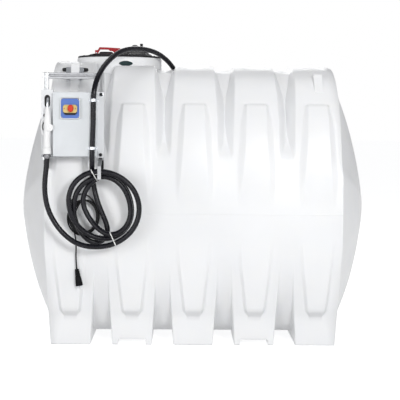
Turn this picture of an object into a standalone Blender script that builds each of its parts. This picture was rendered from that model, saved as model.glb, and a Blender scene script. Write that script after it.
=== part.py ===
"""Diesel exhaust fluid tank with its dispensing kit.

A rotomoulded polyethylene tank with five hoop ribs that end in feet, dished ends and a manhole neck.
On its left front hangs an aluminium frame with a pump cabinet, a nozzle in its holder, a coiled hose
and a coiled mains lead. Metres, +Z up, +X to the right of the front, the front faces -Y. The origin
lies on the floor under the middle rib.
"""

import math

import bmesh
import bpy
from mathutils import Matrix, Vector

# Tank
RIB_PITCH = 0.322
RIB_COUNT = 5
WALL = 0.009
GAP = 0.0003
END_OFFSET = 0.130  # from an end rib's middle to the joint with the dished end
TIP_X = 0.962
DISH_DEPTH = 0.188
DISH_POWER = 1.55
DISH_MID_Z = 0.70
DISH_TOP_Z = 1.38
DISH_FOOT_Z = 0.13
# How much higher the two ribs beside the manhole are, from the crown down their shoulders
RAISED = {
    0: (0.024, 0.024, 0.024, 0.018, 0.010, 0.002),
    1: (-0.012, -0.003, 0.021, 0.016, 0.008, 0.002),
}
NOTCHED_RIBS = (1, 3)
NOTCH_Z = 0.031
NOTCH_HALF = 0.069
NOTCH_DRAFT = 0.005

# Half of the tank's section, from the crown down to the middle of the underside. Each row has the
# rib's surface (y, z), the groove's floor (y, z), half the rib's width, half the floor's width,
# half the width of the raised band, its chamfer and its height.
SECTION = (
    (0.000, 1.487, 0.000, 1.455, 0.104, 0.050, 0.050, 0.010, 0.000),
    (0.150, 1.477, 0.140, 1.447, 0.105, 0.049, 0.050, 0.010, 0.000),
    (0.295, 1.451, 0.262, 1.412, 0.107, 0.038, 0.050, 0.010, 0.000),
    (0.380, 1.415, 0.325, 1.362, 0.109, 0.022, 0.050, 0.010, 0.000),
    (0.455, 1.362, 0.385, 1.300, 0.111, 0.008, 0.050, 0.010, 0.000),
    (0.510, 1.300, 0.437, 1.235, 0.114, 0.003, 0.050, 0.010, 0.000),
    (0.532, 1.268, 0.460, 1.205, 0.115, 0.003, 0.051, 0.010, 0.000),
    (0.535, 1.262, 0.464, 1.198, 0.115, 0.003, 0.051, 0.014, 0.017),
    (0.570, 1.190, 0.508, 1.135, 0.118, 0.005, 0.054, 0.024, 0.026),
    (0.598, 1.105, 0.553, 1.060, 0.120, 0.012, 0.057, 0.030, 0.028),
    (0.618, 1.015, 0.595, 0.985, 0.122, 0.025, 0.062, 0.030, 0.026),
    (0.632, 0.935, 0.632, 0.935, 0.124, 0.034, 0.068, 0.028, 0.020),
    (0.643, 0.840, 0.643, 0.840, 0.124, 0.034, 0.076, 0.020, 0.010),
    (0.650, 0.730, 0.650, 0.730, 0.124, 0.034, 0.080, 0.012, 0.000),
    (0.650, 0.620, 0.650, 0.620, 0.124, 0.034, 0.080, 0.012, 0.000),
    (0.643, 0.460, 0.643, 0.460, 0.123, 0.034, 0.072, 0.014, 0.008),
    (0.617, 0.290, 0.600, 0.285, 0.119, 0.036, 0.054, 0.015, 0.023),
    (0.598, 0.195, 0.556, 0.200, 0.115, 0.040, 0.043, 0.014, 0.031),
    (0.589, 0.152, 0.520, 0.150, 0.112, 0.042, 0.030, 0.006, 0.000),
    (0.581, 0.033, 0.455, 0.078, 0.106, 0.048, 0.050, 0.010, 0.000),
    (0.5786, 0.000, 0.405, 0.054, 0.104, 0.050, 0.050, 0.010, 0.000),
    (0.300, 0.000, 0.280, 0.043, 0.104, 0.050, 0.050, 0.010, 0.000),
    (0.000, 0.000, 0.000, 0.042, 0.104, 0.050, 0.050, 0.010, 0.000),
)
FOOT_ROW = 20  # the row of the foot's front edge

# Manhole
NECK_X = -0.4205
NECK_RADIUS = 0.2375
NECK_WALL = 0.010
NECK_FOOT_Z = 1.400
NECK_RIM_Z = 1.528
NECK_SIDES = 40
LID_RADIUS = 0.2235
LID_STEP_RADIUS = 0.180
LID_EDGE = 0.008
LID_STEP = 0.009
CAP_X = -0.492
CAP_Y = -0.060
CAP_RADIUS = 0.036
CAP_HEIGHT = 0.020
VENT_X = -0.336
VENT_RADIUS = 0.098
VENT_TOP_RADIUS = 0.020
VENT_HEIGHT = 0.064
VENT_KNOB = (-0.2985, 0.035)
VENT_KNOB_RADIUS = 0.0085
VENT_KNOB_TOP_Z = 1.615
BADGE_HALF = (0.040, 0.0145)
BADGE_X = -0.375
BADGE_Z = 1.491
BADGE_DEPTH = 0.004

# Kit frame of slotted aluminium profile
PROFILE = 0.031
POST_BACK_Y = -0.669
LEFT_POST_X = -0.7625
RIGHT_POST_X = -0.4805
POST_FOOT_Z = 0.976
FRAME_TOP_Z = 1.421
PLATE_MIN_X = -0.7775
PLATE_MAX_X = -0.464
PLATE_MIN_Z = 0.991
PLATE_MAX_Z = 1.324
SHEET = 0.003
KNOB_RADIUS = 0.0085
KNOB_LENGTH = 0.014
UPPER_KNOB_Z = 1.311
LOWER_KNOB_Z = 1.005
LUG_WIDTH = 0.044
LUG_X = 0.6335
BOLT_Y = -0.402
BOLT_Z = 1.447
ARM_THICK = {"left": 0.027, "right": 0.019}
CAP_NUT_RADIUS = 0.011
CAP_NUT_LENGTH = {"left": 0.023, "right": 0.0255}

# Cabinet and switch
CABINET_MIN = (-0.717, 0.997)
CABINET_MAX = (-0.4955, 1.321)
CABINET_FRONT_Y = -0.780
SWITCH_X = -0.6275
SWITCH_Z = 1.239
HOUSING_SIZE = (0.098, 0.104)
HOUSING_DEPTH = 0.022
FACE_DEPTH = 0.002
BASE_SIZE = (0.074, 0.044)
BASE_DEPTH = 0.014
TURN_X = -0.6235
KNOB_SIZE = (0.030, 0.039)
TURN_DEPTH = 0.018

# Nozzle and holder
HOLDER_MIN_X = -0.777
HOLDER_MAX_X = -0.7185
HOLDER_MIN_Z = 0.995
HOLDER_MAX_Z = 1.333
HOLDER_FRONT_Y = -0.752
SLOT_X = -0.747
SLOT_HALF = 0.0145
SLOT_MIN_Z = 1.244
SLOT_MAX_Z = 1.307
NOZZLE_X = -0.747
NOZZLE_Y = -0.7738
GRIP_RADIUS = 0.0185
GRIP_MIN_Z = 1.040
GRIP_MAX_Z = 1.125
SHOULDER_Z = 1.186
HEAD_TOP_Z = 1.243
NECK_TUBE_RADIUS = 0.0065
DISC_X = -0.732
DISC_Z = 1.142
DISC_RADIUS = 0.0195
FERRULE_RADIUS = 0.0215
FERRULE_MIN_Z = 1.0085
CLAMP_MIN_Z = 0.987
CLAMP_RADIUS = 0.020

# Hose, lead and what they hang from
HOSE_RADIUS = 0.0133
HOSE_LINE_Y = -0.7940  # the hose's middle in front of the cabinet
HOOK_X = -0.4805
HOOK_WIDTH = 0.018
HOOK_FRONT_Y = -0.8135
HOOK_BACK_Y = -0.690
HOOK_LEG_Z = 0.8858
COIL_X = -0.458
COIL_Z = 0.7325
COIL_HALF = (0.1935, 0.2065)
COIL_BAND = 0.046
COIL_MIN_Y = -0.8090
COIL_MAX_Y = -0.7000
SADDLE_WIDTH = 0.052
SADDLE_HEIGHT = 0.018
SADDLE_STRIP = 0.0015
UPPER_SADDLE = (-0.5115, 1.281)
LOWER_SADDLE = (-0.5165, 1.040)
FITTING_RADIUS = 0.012
LEAD_RADIUS = 0.004
LEAD_COIL_X = -0.569
LEAD_COIL_Z = 0.683
LEAD_COIL_HALF = (0.085, 0.105)
LEAD_COIL_BAND = 0.020
LEAD_COIL_MIN_Y = -0.6890
LEAD_COIL_MAX_Y = -0.6520
GLAND_X = -0.525
GLAND_Y = -0.7145
GLAND_RADIUS = 0.010
GLAND_LENGTH = 0.024
PLUG_TOP = (-0.605, -0.668, 0.414)
PLUG_LENGTH = 0.095
PLUG_TILT = math.radians(9)


def clear_scene():
    for old in list(bpy.data.objects):
        bpy.data.objects.remove(old, do_unlink=True)


def new_collection(name):
    made = bpy.data.collections.new(name)
    bpy.context.scene.collection.children.link(made)
    return made


def material(name, colour, roughness, metallic=0.0):
    made = bpy.data.materials.new(name)
    made.use_nodes = True
    shader = made.node_tree.nodes["Principled BSDF"]
    shader.inputs["Base Color"].default_value = (*colour, 1.0)
    shader.inputs["Roughness"].default_value = roughness
    shader.inputs["Metallic"].default_value = metallic
    return made


clear_scene()
TANK = new_collection("def_tank")
CUTTERS = new_collection("cutters")

WHITE_PE = material("white_polyethylene", (0.90, 0.90, 0.92), 0.45)
WHITE_PAINT = material("white_paint", (0.86, 0.87, 0.88), 0.4)
CABINET_GREY = material("light_grey_plastic", (0.74, 0.77, 0.79), 0.5)
ALUMINIUM = material("aluminium", (0.80, 0.80, 0.80), 0.35, 1.0)
ZINC = material("zinc_steel", (0.70, 0.71, 0.72), 0.35, 1.0)
BLACK_PLASTIC = material("black_plastic", (0.02, 0.02, 0.022), 0.45)
BLACK_RUBBER = material("black_rubber", (0.03, 0.03, 0.035), 0.6)
GREY_PLASTIC = material("grey_plastic", (0.22, 0.21, 0.20), 0.5)
RED_PLASTIC = material("red_plastic", (0.62, 0.03, 0.04), 0.35)
ORANGE_RED = material("orange_red_plastic", (0.80, 0.10, 0.04), 0.35)
YELLOW = material("yellow_plastic", (0.82, 0.62, 0.20), 0.4)
BLUE = material("blue_plate", (0.13, 0.25, 0.62), 0.4)
TEAL = material("dark_teal_plate", (0.02, 0.10, 0.11), 0.4)


def link(obj, mat, group=None):
    for home in list(obj.users_collection):
        home.objects.unlink(obj)
    (group or TANK).objects.link(obj)
    if mat is not None:
        obj.data.materials.clear()
        obj.data.materials.append(mat)
    return obj


def object_from(bm, name, mat, group=None, smooth=False):
    """A new object from a bmesh with its faces pointing out."""
    bmesh.ops.recalc_face_normals(bm, faces=bm.faces)
    mesh = bpy.data.meshes.new(name)
    bm.to_mesh(mesh)
    bm.free()
    if smooth:
        mesh.shade_smooth()
        mesh.set_sharp_from_angle(angle=math.radians(40))
    return link(bpy.data.objects.new(name, mesh), mat, group)


def box(name, low, high, mat, bevel=0.0, group=None):
    """A box between two corners, with its edges rounded by bevel."""
    bm = bmesh.new()
    bmesh.ops.create_cube(bm, size=1.0)
    middle = [(a + b) / 2 for a, b in zip(low, high)]
    size = [b - a for a, b in zip(low, high)]
    for v in bm.verts:
        v.co = Vector(m + c * s for m, c, s in zip(middle, v.co, size))
    obj = object_from(bm, name, mat, group)
    if bevel:
        rounded = obj.modifiers.new("rounded", "BEVEL")
        rounded.width = bevel
        rounded.segments = 2
    return obj


def rod(name, start, end, radius, mat, sides=16, end_radius=None, group=None):
    """A round bar or cone from start to end."""
    start, end = Vector(start), Vector(end)
    along = end - start
    bm = bmesh.new()
    bmesh.ops.create_cone(
        bm,
        cap_ends=True,
        segments=sides,
        radius1=radius,
        radius2=radius if end_radius is None else end_radius,
        depth=along.length,
        matrix=Matrix.Translation((start + end) / 2) @ along.to_track_quat("Z", "Y").to_matrix().to_4x4(),
    )
    return object_from(bm, name, mat, group, smooth=True)


def turned(name, profile, place, mat, direction=(0, 0, 1), steps=24, group=None, stretch=None):
    """A closed profile of (radius, height) points, top to bottom down its outer side, turned round."""
    mesh = bpy.data.meshes.new(name)
    closed = profile[0][0] > 0
    edges = [(i, i + 1) for i in range(len(profile) - 1)]
    if closed:
        edges.append((len(profile) - 1, 0))
    mesh.from_pydata([(r, 0, h) for r, h in profile], edges, [])
    obj = link(bpy.data.objects.new(name, mesh), mat, group)
    turn = obj.modifiers.new("turn", "SCREW")
    turn.steps = steps
    turn.render_steps = steps
    turn.use_merge_vertices = True
    turn.merge_threshold = 0.0001
    turn.use_smooth_shade = True
    obj.location = place
    if stretch:
        obj.scale = stretch
    obj.rotation_euler = Vector(direction).to_track_quat("Z", "Y").to_euler()
    return obj


def smooth_line(points, spacing):
    """Points about a spacing apart on a smooth curve through the given ones."""
    points = [Vector(p) for p in points]
    ends = [points[0] * 2 - points[1], *points, points[-1] * 2 - points[-2]]
    fine = []
    for a, b, c, d in zip(ends, ends[1:], ends[2:], ends[3:]):
        for k in range(8):
            t = k / 8
            fine.append(
                0.5 * (2 * b + (c - a) * t + (2 * a - 5 * b + 4 * c - d) * t**2 + (3 * b - a - 3 * c + d) * t**3)
            )
    fine.append(points[-1])
    total = sum((q - p).length for p, q in zip(fine, fine[1:]))
    count = max(2, round(total / spacing))
    line, done, want = [fine[0]], 0.0, total / count
    for p, q in zip(fine, fine[1:]):
        step = (q - p).length
        while done + step >= want * len(line) - 1e-9 and len(line) < count:
            line.append(p.lerp(q, (want * len(line) - done) / step))
        done += step
    line.append(points[-1])
    return line


def tube(name, points, radius, mat, resolution=2, group=None):
    """A round tube with filled ends along the points."""
    curve = bpy.data.curves.new(name, "CURVE")
    curve.dimensions = "3D"
    curve.bevel_depth = radius
    curve.bevel_resolution = resolution
    curve.use_fill_caps = True
    spline = curve.splines.new("POLY")
    spline.points.add(len(points) - 1)
    for place, point in zip(spline.points, points):
        place.co = (*point, 1.0)
    return link(bpy.data.objects.new(name, curve), mat, group)


def outline(name, loops, thickness, place, mat, turn=(0, 0, 0), group=None):
    """A flat plate with the outline loops[0] and holes in the rest, thick along its own Z."""
    curve = bpy.data.curves.new(name, "CURVE")
    curve.dimensions = "2D"
    curve.fill_mode = "BOTH"
    curve.extrude = thickness / 2
    for loop in loops:
        spline = curve.splines.new("POLY")
        spline.points.add(len(loop) - 1)
        for place_at, point in zip(spline.points, loop):
            place_at.co = (*point, 0.0, 1.0)
        spline.use_cyclic_u = True
    obj = link(bpy.data.objects.new(name, curve), mat, group)
    obj.location = place
    obj.rotation_euler = turn
    return obj


def side_plate(name, profile, low_x, high_x, mat, group=None):
    """A plate with an outline of (y, z) points, from low_x to high_x."""
    # Its own X is +Y, its own Y is +Z and its own Z is +X
    turn = (math.radians(90), 0, math.radians(90))
    return outline(name, [profile], high_x - low_x, ((low_x + high_x) / 2, 0, 0), mat, turn, group)


def front_plate(name, loops, back_y, front_y, mat, place=(0, 0), group=None):
    """A plate with outlines of (x, z) points about place, from back_y forward to front_y."""
    # Its own X is +X, its own Y is +Z and its own Z is -Y
    turn = (math.radians(90), 0, 0)
    return outline(name, loops, back_y - front_y, (place[0], (back_y + front_y) / 2, place[1]), mat, turn, group)


def as_mesh(obj):
    """The object again as a mesh with its modifiers applied and its caps welded."""
    bpy.context.view_layer.update()
    graph = bpy.context.evaluated_depsgraph_get()
    mesh = bpy.data.meshes.new_from_object(obj.evaluated_get(graph))
    name, matrix = obj.name, obj.matrix_world.copy()
    home = obj.users_collection[0]
    bpy.data.objects.remove(obj, do_unlink=True)
    bm = bmesh.new()
    bm.from_mesh(mesh)
    bmesh.ops.remove_doubles(bm, verts=bm.verts, dist=0.00001)
    bm.to_mesh(mesh)
    bm.free()
    made = bpy.data.objects.new(name, mesh)
    made.matrix_world = matrix
    home.objects.link(made)
    return made


def combine(obj, tool, how):
    """A Boolean of obj with tool, which becomes a cutter."""
    for home in list(tool.users_collection):
        home.objects.unlink(tool)
    CUTTERS.objects.link(tool)
    tool.hide_render = True
    tool.display_type = "WIRE"
    change = obj.modifiers.new(how.lower(), "BOOLEAN")
    change.operation = how
    change.solver = "EXACT"
    change.object = tool
    return obj


def stadium(half_width, half_height, steps=6):
    """An outline with round ends, long along its first axis."""
    straight = half_width - half_height
    points = []
    for side, start in ((1, -90), (-1, 90)):
        for k in range(steps + 1):
            angle = math.radians(start + 180 * k / steps)
            points.append((side * straight + half_height * math.cos(angle), half_height * math.sin(angle)))
    return points


def inward(section, depth):
    """A half section moved in by depth along its own normals."""
    moved = []
    last = len(section) - 1
    for i, (y, z) in enumerate(section):
        if i in (0, last):
            moved.append((y, z + (-depth if i == 0 else depth)))
            continue
        before = Vector((y, z)) - Vector(section[i - 1])
        after = Vector(section[i + 1]) - Vector((y, z))
        before, after = before.normalized(), after.normalized()
        along = (before + after).normalized()
        reach = depth / max(0.6, along.dot(after))
        moved.append((y + along.y * reach, z - along.x * reach))
    return moved


def rib_section(rib):
    """The half section of a rib's surface."""
    rows = [[row[0], row[1]] for row in SECTION]
    for i, rise in enumerate(RAISED.get(rib, ())):
        rows[i][1] += rise
    return [tuple(row) for row in rows]


def groove_section():
    return [(row[2], row[3]) for row in SECTION]


def end_section(section):
    """The groove's section with its top lowered and its foot reaching down, for the dished ends."""
    top, foot = section[0][1], section[-1][1]
    changed = []
    for y, z in section:
        if z > DISH_MID_Z:
            z = DISH_MID_Z + (z - DISH_MID_Z) * (DISH_TOP_Z - DISH_MID_Z) / (top - DISH_MID_Z)
        else:
            z = DISH_MID_Z + (z - DISH_MID_Z) * (DISH_FOOT_Z - DISH_MID_Z) / (foot - DISH_MID_Z)
        changed.append((y, z))
    return changed


def full_loop(half):
    """The closed loop of a half section, which runs from the crown to the underside."""
    return [*half, *[(-y, z) for y, z in reversed(half[1:-1])]]


def band_section(rib):
    """The half section of the raised band's front, which is the notch's ceiling under a notched rib."""
    section = rib_section(rib)
    raised = list(section)
    for i, row in enumerate(SECTION):
        if row[8] > 0:
            y, z = section[i]
            before, after = Vector(section[i - 1]), Vector(section[i + 1])
            along = (after - before).normalized()
            raised[i] = (y - along.y * row[8], z + along.x * row[8])
    if rib in NOTCHED_RIBS:
        for i in range(FOOT_ROW, len(SECTION)):
            raised[i] = (min(raised[i][0], SECTION[FOOT_ROW][0] - 0.001), NOTCH_Z)
    return raised


def loft_shell(name, outer, inner, mat):
    """A closed shell between two stacks of loops, open at both ends."""
    bm = bmesh.new()
    stacks = []
    for stack in (outer, inner):
        stacks.append([[bm.verts.new(p) for p in loop] for loop in stack])
    count = len(outer[0])
    for stack in stacks:
        for a, b in zip(stack, stack[1:]):
            for i in range(count):
                j = (i + 1) % count
                bm.faces.new((a[i], a[j], b[j], b[i]))
    for a, b in ((stacks[0][0], stacks[1][0]), (stacks[0][-1], stacks[1][-1])):
        for i in range(count):
            j = (i + 1) % count
            bm.faces.new((a[i], a[j], b[j], b[i]))
    return object_from(bm, name, mat, smooth=True)


def barrel_bay(rib):
    """One rib with half a groove on each side, or the joint with a dished end on its outer side."""
    middle = (rib - (RIB_COUNT - 1) / 2) * RIB_PITCH
    rib_half, groove_half, band_half = rib_section(rib), groove_section(), band_section(rib)
    rib_in, groove_in = inward(rib_half, WALL), inward(groove_half, WALL)
    if rib in NOTCHED_RIBS:
        rib_in = [(y, max(z, NOTCH_Z + WALL)) for y, z in rib_in]
        groove_in = [(y, max(z, NOTCH_Z + WALL)) for y, z in groove_in]
    rows = range(len(SECTION))
    edge = RIB_PITCH / 2 - GAP / 2
    notched = [rib in NOTCHED_RIBS and i >= FOOT_ROW for i in rows]
    widths = [row[4] for row in SECTION]
    floors = [RIB_PITCH / 2 - row[5] for row in SECTION]
    band_tops = [NOTCH_HALF if notched[i] else SECTION[i][6] for i in rows]
    band_feet = [NOTCH_HALF + NOTCH_DRAFT if notched[i] else SECTION[i][6] + SECTION[i][7] for i in rows]
    band_feet = [min(b, w - 0.004) for b, w in zip(band_feet, widths)]

    def loop(sign, offsets, half):
        """One loop of the shell, sign times the offsets from the rib's middle."""
        front = [(middle + sign * u, -y, z) for u, (y, z) in zip(offsets, half)]
        return [*front, *[(x, -y, z) for x, y, z in reversed(front[1:-1])]]

    def side(sign):
        """The loops from a side's end to the middle of the rib, outer and inner."""
        ends_here = (rib == 0 and sign < 0) or (rib == RIB_COUNT - 1 and sign > 0)
        shrink = WALL * 0.6
        if ends_here:
            end_half = end_section(groove_half)
            end_in = inward(end_half, WALL)
            outer = [loop(sign, [END_OFFSET] * len(rows), end_half)]
            inner = [loop(sign, [END_OFFSET] * len(rows), end_in)]
        else:
            outer = [
                loop(sign, [edge] * len(rows), groove_half),
                loop(sign, floors, groove_half),
            ]
            inner = [
                loop(sign, [edge] * len(rows), groove_in),
                loop(sign, [f - shrink for f in floors], groove_in),
            ]
        outer += [
            loop(sign, widths, rib_half),
            loop(sign, band_feet, rib_half),
            loop(sign, band_tops, band_half),
        ]
        inner.append(loop(sign, [w - shrink for w in widths], rib_in))
        return outer, inner

    left_outer, left_inner = side(-1)
    right_outer, right_inner = side(1)
    name = f"barrel_bay_{rib + 1}"
    return loft_shell(name, left_outer + right_outer[::-1], left_inner + right_inner[::-1], WHITE_PE)


def dished_end(name, sign):
    """A dished end: the tank's section shrinks to a tip."""
    base_x = (RIB_COUNT - 1) / 2 * RIB_PITCH + END_OFFSET + GAP
    half = end_section(groove_section())
    shares = (1.0, 0.90, 0.76, 0.58, 0.36, 0.14)

    def ring(section, share, shift):
        x = TIP_X - DISH_DEPTH * share**DISH_POWER - shift
        x = max(x, base_x)
        return [(sign * x, y * share, DISH_MID_Z + (z - DISH_MID_Z) * share) for y, z in section]

    outer_half, inner_half = half, inward(half, WALL)
    bm = bmesh.new()
    stacks = []
    for section, shift in ((outer_half, 0.0), (inner_half, WALL)):
        loops = [[bm.verts.new(p) for p in ring(full_loop(section), s, shift if s < 1 else 0.0)] for s in shares]
        tip = bm.verts.new((sign * (TIP_X - shift), 0, DISH_MID_Z))
        stacks.append((loops, tip))
    count = len(stacks[0][0][0])
    for loops, tip in stacks:
        for a, b in zip(loops, loops[1:]):
            for i in range(count):
                j = (i + 1) % count
                bm.faces.new((a[i], a[j], b[j], b[i]))
        for i in range(count):
            bm.faces.new((loops[-1][i], loops[-1][(i + 1) % count], tip))
    a, b = stacks[0][0][0], stacks[1][0][0]
    for i in range(count):
        j = (i + 1) % count
        bm.faces.new((a[i], a[j], b[j], b[i]))
    return object_from(bm, name, WHITE_PE, smooth=True)


def shoulder_point(rib, y):
    """The height of a rib's surface at a distance y from the middle plane, on the shoulder."""
    half = rib_section(rib)
    for (y0, z0), (y1, z1) in zip(half, half[1:]):
        if y0 <= y <= y1:
            return z0 + (z1 - z0) * (y - y0) / (y1 - y0)
    raise ValueError(y)


def lifting_lug(name, rib, x, top_z, front_y, foot_y):
    """A lug on the front shoulder of a rib, with its back on the rib's surface."""
    lift = GAP + 0.0002
    start_y = 0.31
    while shoulder_point(rib, start_y) > top_z - lift - 0.003:
        start_y += 0.01
    back = [(start_y + (foot_y - start_y) * k / 5) for k in range(6)]
    stops = sorted({*back, *[y for y, _ in rib_section(rib) if start_y < y < foot_y]})
    profile = [(-y, shoulder_point(rib, y) + lift * 1.4) for y in stops]
    profile += [(-foot_y - 0.002, shoulder_point(rib, foot_y) + 0.004), (-front_y, top_z - 0.006)]
    profile += [(-front_y + 0.006, top_z), (-start_y, top_z)]
    return side_plate(name, profile, x - LUG_WIDTH / 2, x + LUG_WIDTH / 2, WHITE_PE)


def make_tank():
    for rib in range(RIB_COUNT):
        barrel_bay(rib)
    for rib in (0, 1):
        hole = rod(
            f"manhole_cut_{rib + 1}",
            (NECK_X, 0, 1.33),
            (NECK_X, 0, 1.60),
            NECK_RADIUS + GAP,
            None,
            sides=NECK_SIDES,
            group=CUTTERS,
        )
        combine(bpy.data.objects[f"barrel_bay_{rib + 1}"], hole, "DIFFERENCE")
    dished_end("left_end", -1)
    dished_end("right_end", 1)
    lifting_lug("left_lug", 0, -LUG_X, 1.478, 0.432, 0.490)
    lifting_lug("right_lug", 4, LUG_X + 0.0235, 1.433, 0.425, 0.480)


def make_manhole():
    turned(
        "manhole_neck",
        [
            (NECK_RADIUS - NECK_WALL, NECK_RIM_Z - 0.002),
            (NECK_RADIUS - NECK_WALL + 0.002, NECK_RIM_Z),
            (NECK_RADIUS - 0.003, NECK_RIM_Z),
            (NECK_RADIUS, NECK_RIM_Z - 0.003),
            (NECK_RADIUS, NECK_FOOT_Z),
            (NECK_RADIUS - NECK_WALL, NECK_FOOT_Z),
        ],
        (NECK_X, 0, 0),
        WHITE_PE,
        steps=NECK_SIDES,
    )
    lid_z = NECK_RIM_Z + GAP
    lid_top = lid_z + LID_EDGE + LID_STEP
    turned(
        "manhole_lid",
        [
            (0, lid_top),
            (LID_STEP_RADIUS - 0.004, lid_top),
            (LID_STEP_RADIUS + 0.006, lid_z + LID_EDGE + 0.001),
            (LID_RADIUS - 0.002, lid_z + LID_EDGE),
            (LID_RADIUS + 0.009, lid_z + LID_EDGE - 0.002),
            (LID_RADIUS + 0.010, lid_z),
            (0, lid_z),
        ],
        (NECK_X, 0, 0),
        BLACK_PLASTIC,
        steps=40,
    )
    cap_z = lid_top + GAP
    turned(
        "filler_cap",
        [
            (0, cap_z + CAP_HEIGHT),
            (CAP_RADIUS - 0.004, cap_z + CAP_HEIGHT),
            (CAP_RADIUS, cap_z + CAP_HEIGHT - 0.004),
            (CAP_RADIUS, cap_z),
            (0, cap_z),
        ],
        (CAP_X, CAP_Y, 0),
        BLACK_PLASTIC,
        steps=24,
    )
    handle = [
        (-0.5551, cap_z),
        (-0.5400, cap_z),
        (-0.5360, 1.5600),
        (-0.5266, 1.5752),
        (-0.4820, 1.5747),
        (-0.4718, 1.5680),
        (-0.4560, 1.5662),
        (-0.4480, 1.5572),
        (-0.4374, 1.5572),
        (-0.4250, 1.5640),
        (-0.4092, 1.5769),
        (-0.4154, 1.5826),
        (-0.4842, 1.5865),
        (-0.5305, 1.5875),
        (-0.5401, 1.5713),
        (-0.5551, 1.5707),
    ]
    front_plate("filler_handle", [handle], CAP_Y + 0.011, CAP_Y - 0.011, RED_PLASTIC)
    vent_z = lid_top + GAP
    dome = turned(
        "vent_dome",
        [
            (0, vent_z + VENT_HEIGHT),
            (VENT_TOP_RADIUS, vent_z + VENT_HEIGHT),
            (VENT_TOP_RADIUS + 0.030, vent_z + VENT_HEIGHT - 0.010),
            (VENT_RADIUS - 0.014, vent_z + 0.013),
            (VENT_RADIUS, vent_z + 0.006),
            (VENT_RADIUS, vent_z),
            (0, vent_z),
        ],
        (VENT_X, 0.05, 0),
        GREY_PLASTIC,
        steps=32,
    )
    # A small knob stands on the dome's right shoulder
    knob = rod(
        "knob_join",
        (*VENT_KNOB, vent_z + VENT_HEIGHT - 0.020),
        (*VENT_KNOB, VENT_KNOB_TOP_Z),
        VENT_KNOB_RADIUS,
        GREY_PLASTIC,
    )
    combine(dome, knob, "UNION")
    badge_y = -math.sqrt(NECK_RADIUS**2 - (BADGE_X - BADGE_HALF[0] - NECK_X) ** 2)
    badge_y = min(badge_y, -NECK_RADIUS) - GAP
    front_plate(
        "neck_plate",
        [stadium(*BADGE_HALF)],
        badge_y,
        badge_y - BADGE_DEPTH,
        TEAL,
        (BADGE_X, BADGE_Z),
    )


def profile_bar(name, low, high):
    """A bar of slotted profile as its outer box."""
    return box(name, low, high, ALUMINIUM, bevel=0.0012)


def make_frame():
    half = PROFILE / 2
    front_y = POST_BACK_Y - PROFILE
    for name, x in (("left_post", LEFT_POST_X), ("right_post", RIGHT_POST_X)):
        profile_bar(name, (x - half, front_y, POST_FOOT_Z), (x + half, POST_BACK_Y, FRAME_TOP_Z))
        # The rubber pad between the post's foot and the tank's side
        pad_z = POST_FOOT_Z + 0.004
        surface = 0.637 if name == "left_post" else 0.6335
        side = name.split("_")[0]
        box(
            f"{side}_pad",
            (x - 0.012, POST_BACK_Y + GAP, pad_z - 0.05),
            (x + 0.012, -surface, pad_z),
            BLACK_RUBBER,
        )
    profile_bar(
        "top_rail",
        (LEFT_POST_X + half + GAP, front_y, FRAME_TOP_Z - PROFILE),
        (RIGHT_POST_X - half - GAP, POST_BACK_Y, FRAME_TOP_Z),
    )
    plate = [
        (PLATE_MIN_X, PLATE_MIN_Z),
        (PLATE_MAX_X, PLATE_MIN_Z),
        (PLATE_MAX_X, PLATE_MAX_Z),
        (PLATE_MIN_X, PLATE_MAX_Z),
    ]
    plate_back = front_y - GAP
    front_plate("mounting_plate", [plate], plate_back, plate_back - SHEET, WHITE_PAINT)
    knob_back = plate_back - SHEET - GAP
    rod(
        "upper_knob",
        (RIGHT_POST_X + 0.0025, knob_back, UPPER_KNOB_Z),
        (RIGHT_POST_X + 0.0025, knob_back - KNOB_LENGTH, UPPER_KNOB_Z),
        KNOB_RADIUS,
        BLACK_PLASTIC,
        end_radius=KNOB_RADIUS * 0.8,
    )
    strap_front = knob_back - SHEET
    rod(
        "lower_knob",
        (HOOK_X, strap_front - GAP, LOWER_KNOB_Z),
        (HOOK_X, strap_front - GAP - KNOB_LENGTH, LOWER_KNOB_Z),
        KNOB_RADIUS,
        BLACK_PLASTIC,
        end_radius=KNOB_RADIUS * 0.8,
    )
    hook = [
        (knob_back, LOWER_KNOB_Z + 0.013),
        (knob_back, LOWER_KNOB_Z - 0.020),
        (HOOK_FRONT_Y + SHEET, 0.948),
        (HOOK_FRONT_Y + SHEET, HOOK_LEG_Z),
        (HOOK_BACK_Y, HOOK_LEG_Z),
        (HOOK_BACK_Y, HOOK_LEG_Z - SHEET),
        (HOOK_FRONT_Y, HOOK_LEG_Z - SHEET),
        (HOOK_FRONT_Y, 0.950),
        (strap_front, LOWER_KNOB_Z - 0.019),
        (strap_front, LOWER_KNOB_Z + 0.013),
    ]
    side_plate("hose_hook", hook, HOOK_X - HOOK_WIDTH / 2, HOOK_X + HOOK_WIDTH / 2, ZINC)


def make_hanger():
    """Two arms behind the rail and a bolt through the left lug carry the frame."""
    profile = [
        (POST_BACK_Y + GAP, 1.396),
        (POST_BACK_Y + GAP, 1.416),
        (-0.452, 1.416),
        (-0.436, 1.424),
        (-0.420, 1.460),
        (-0.389, 1.460),
        (-0.389, 1.438),
        (-0.415, 1.428),
        (-0.430, 1.405),
        (-0.445, 1.396),
    ]
    for side, sign in (("left", -1), ("right", 1)):
        near = -LUG_X + sign * (LUG_WIDTH / 2 + GAP)
        far = near + sign * ARM_THICK[side]
        side_plate(f"{side}_hanger_arm", profile, min(near, far), max(near, far), ZINC)
        start = far + sign * GAP
        rod(
            f"{side}_cap_nut",
            (start, BOLT_Y, BOLT_Z),
            (start + sign * CAP_NUT_LENGTH[side], BOLT_Y, BOLT_Z),
            CAP_NUT_RADIUS,
            BLACK_PLASTIC,
            end_radius=CAP_NUT_RADIUS * 0.8,
        )


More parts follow.
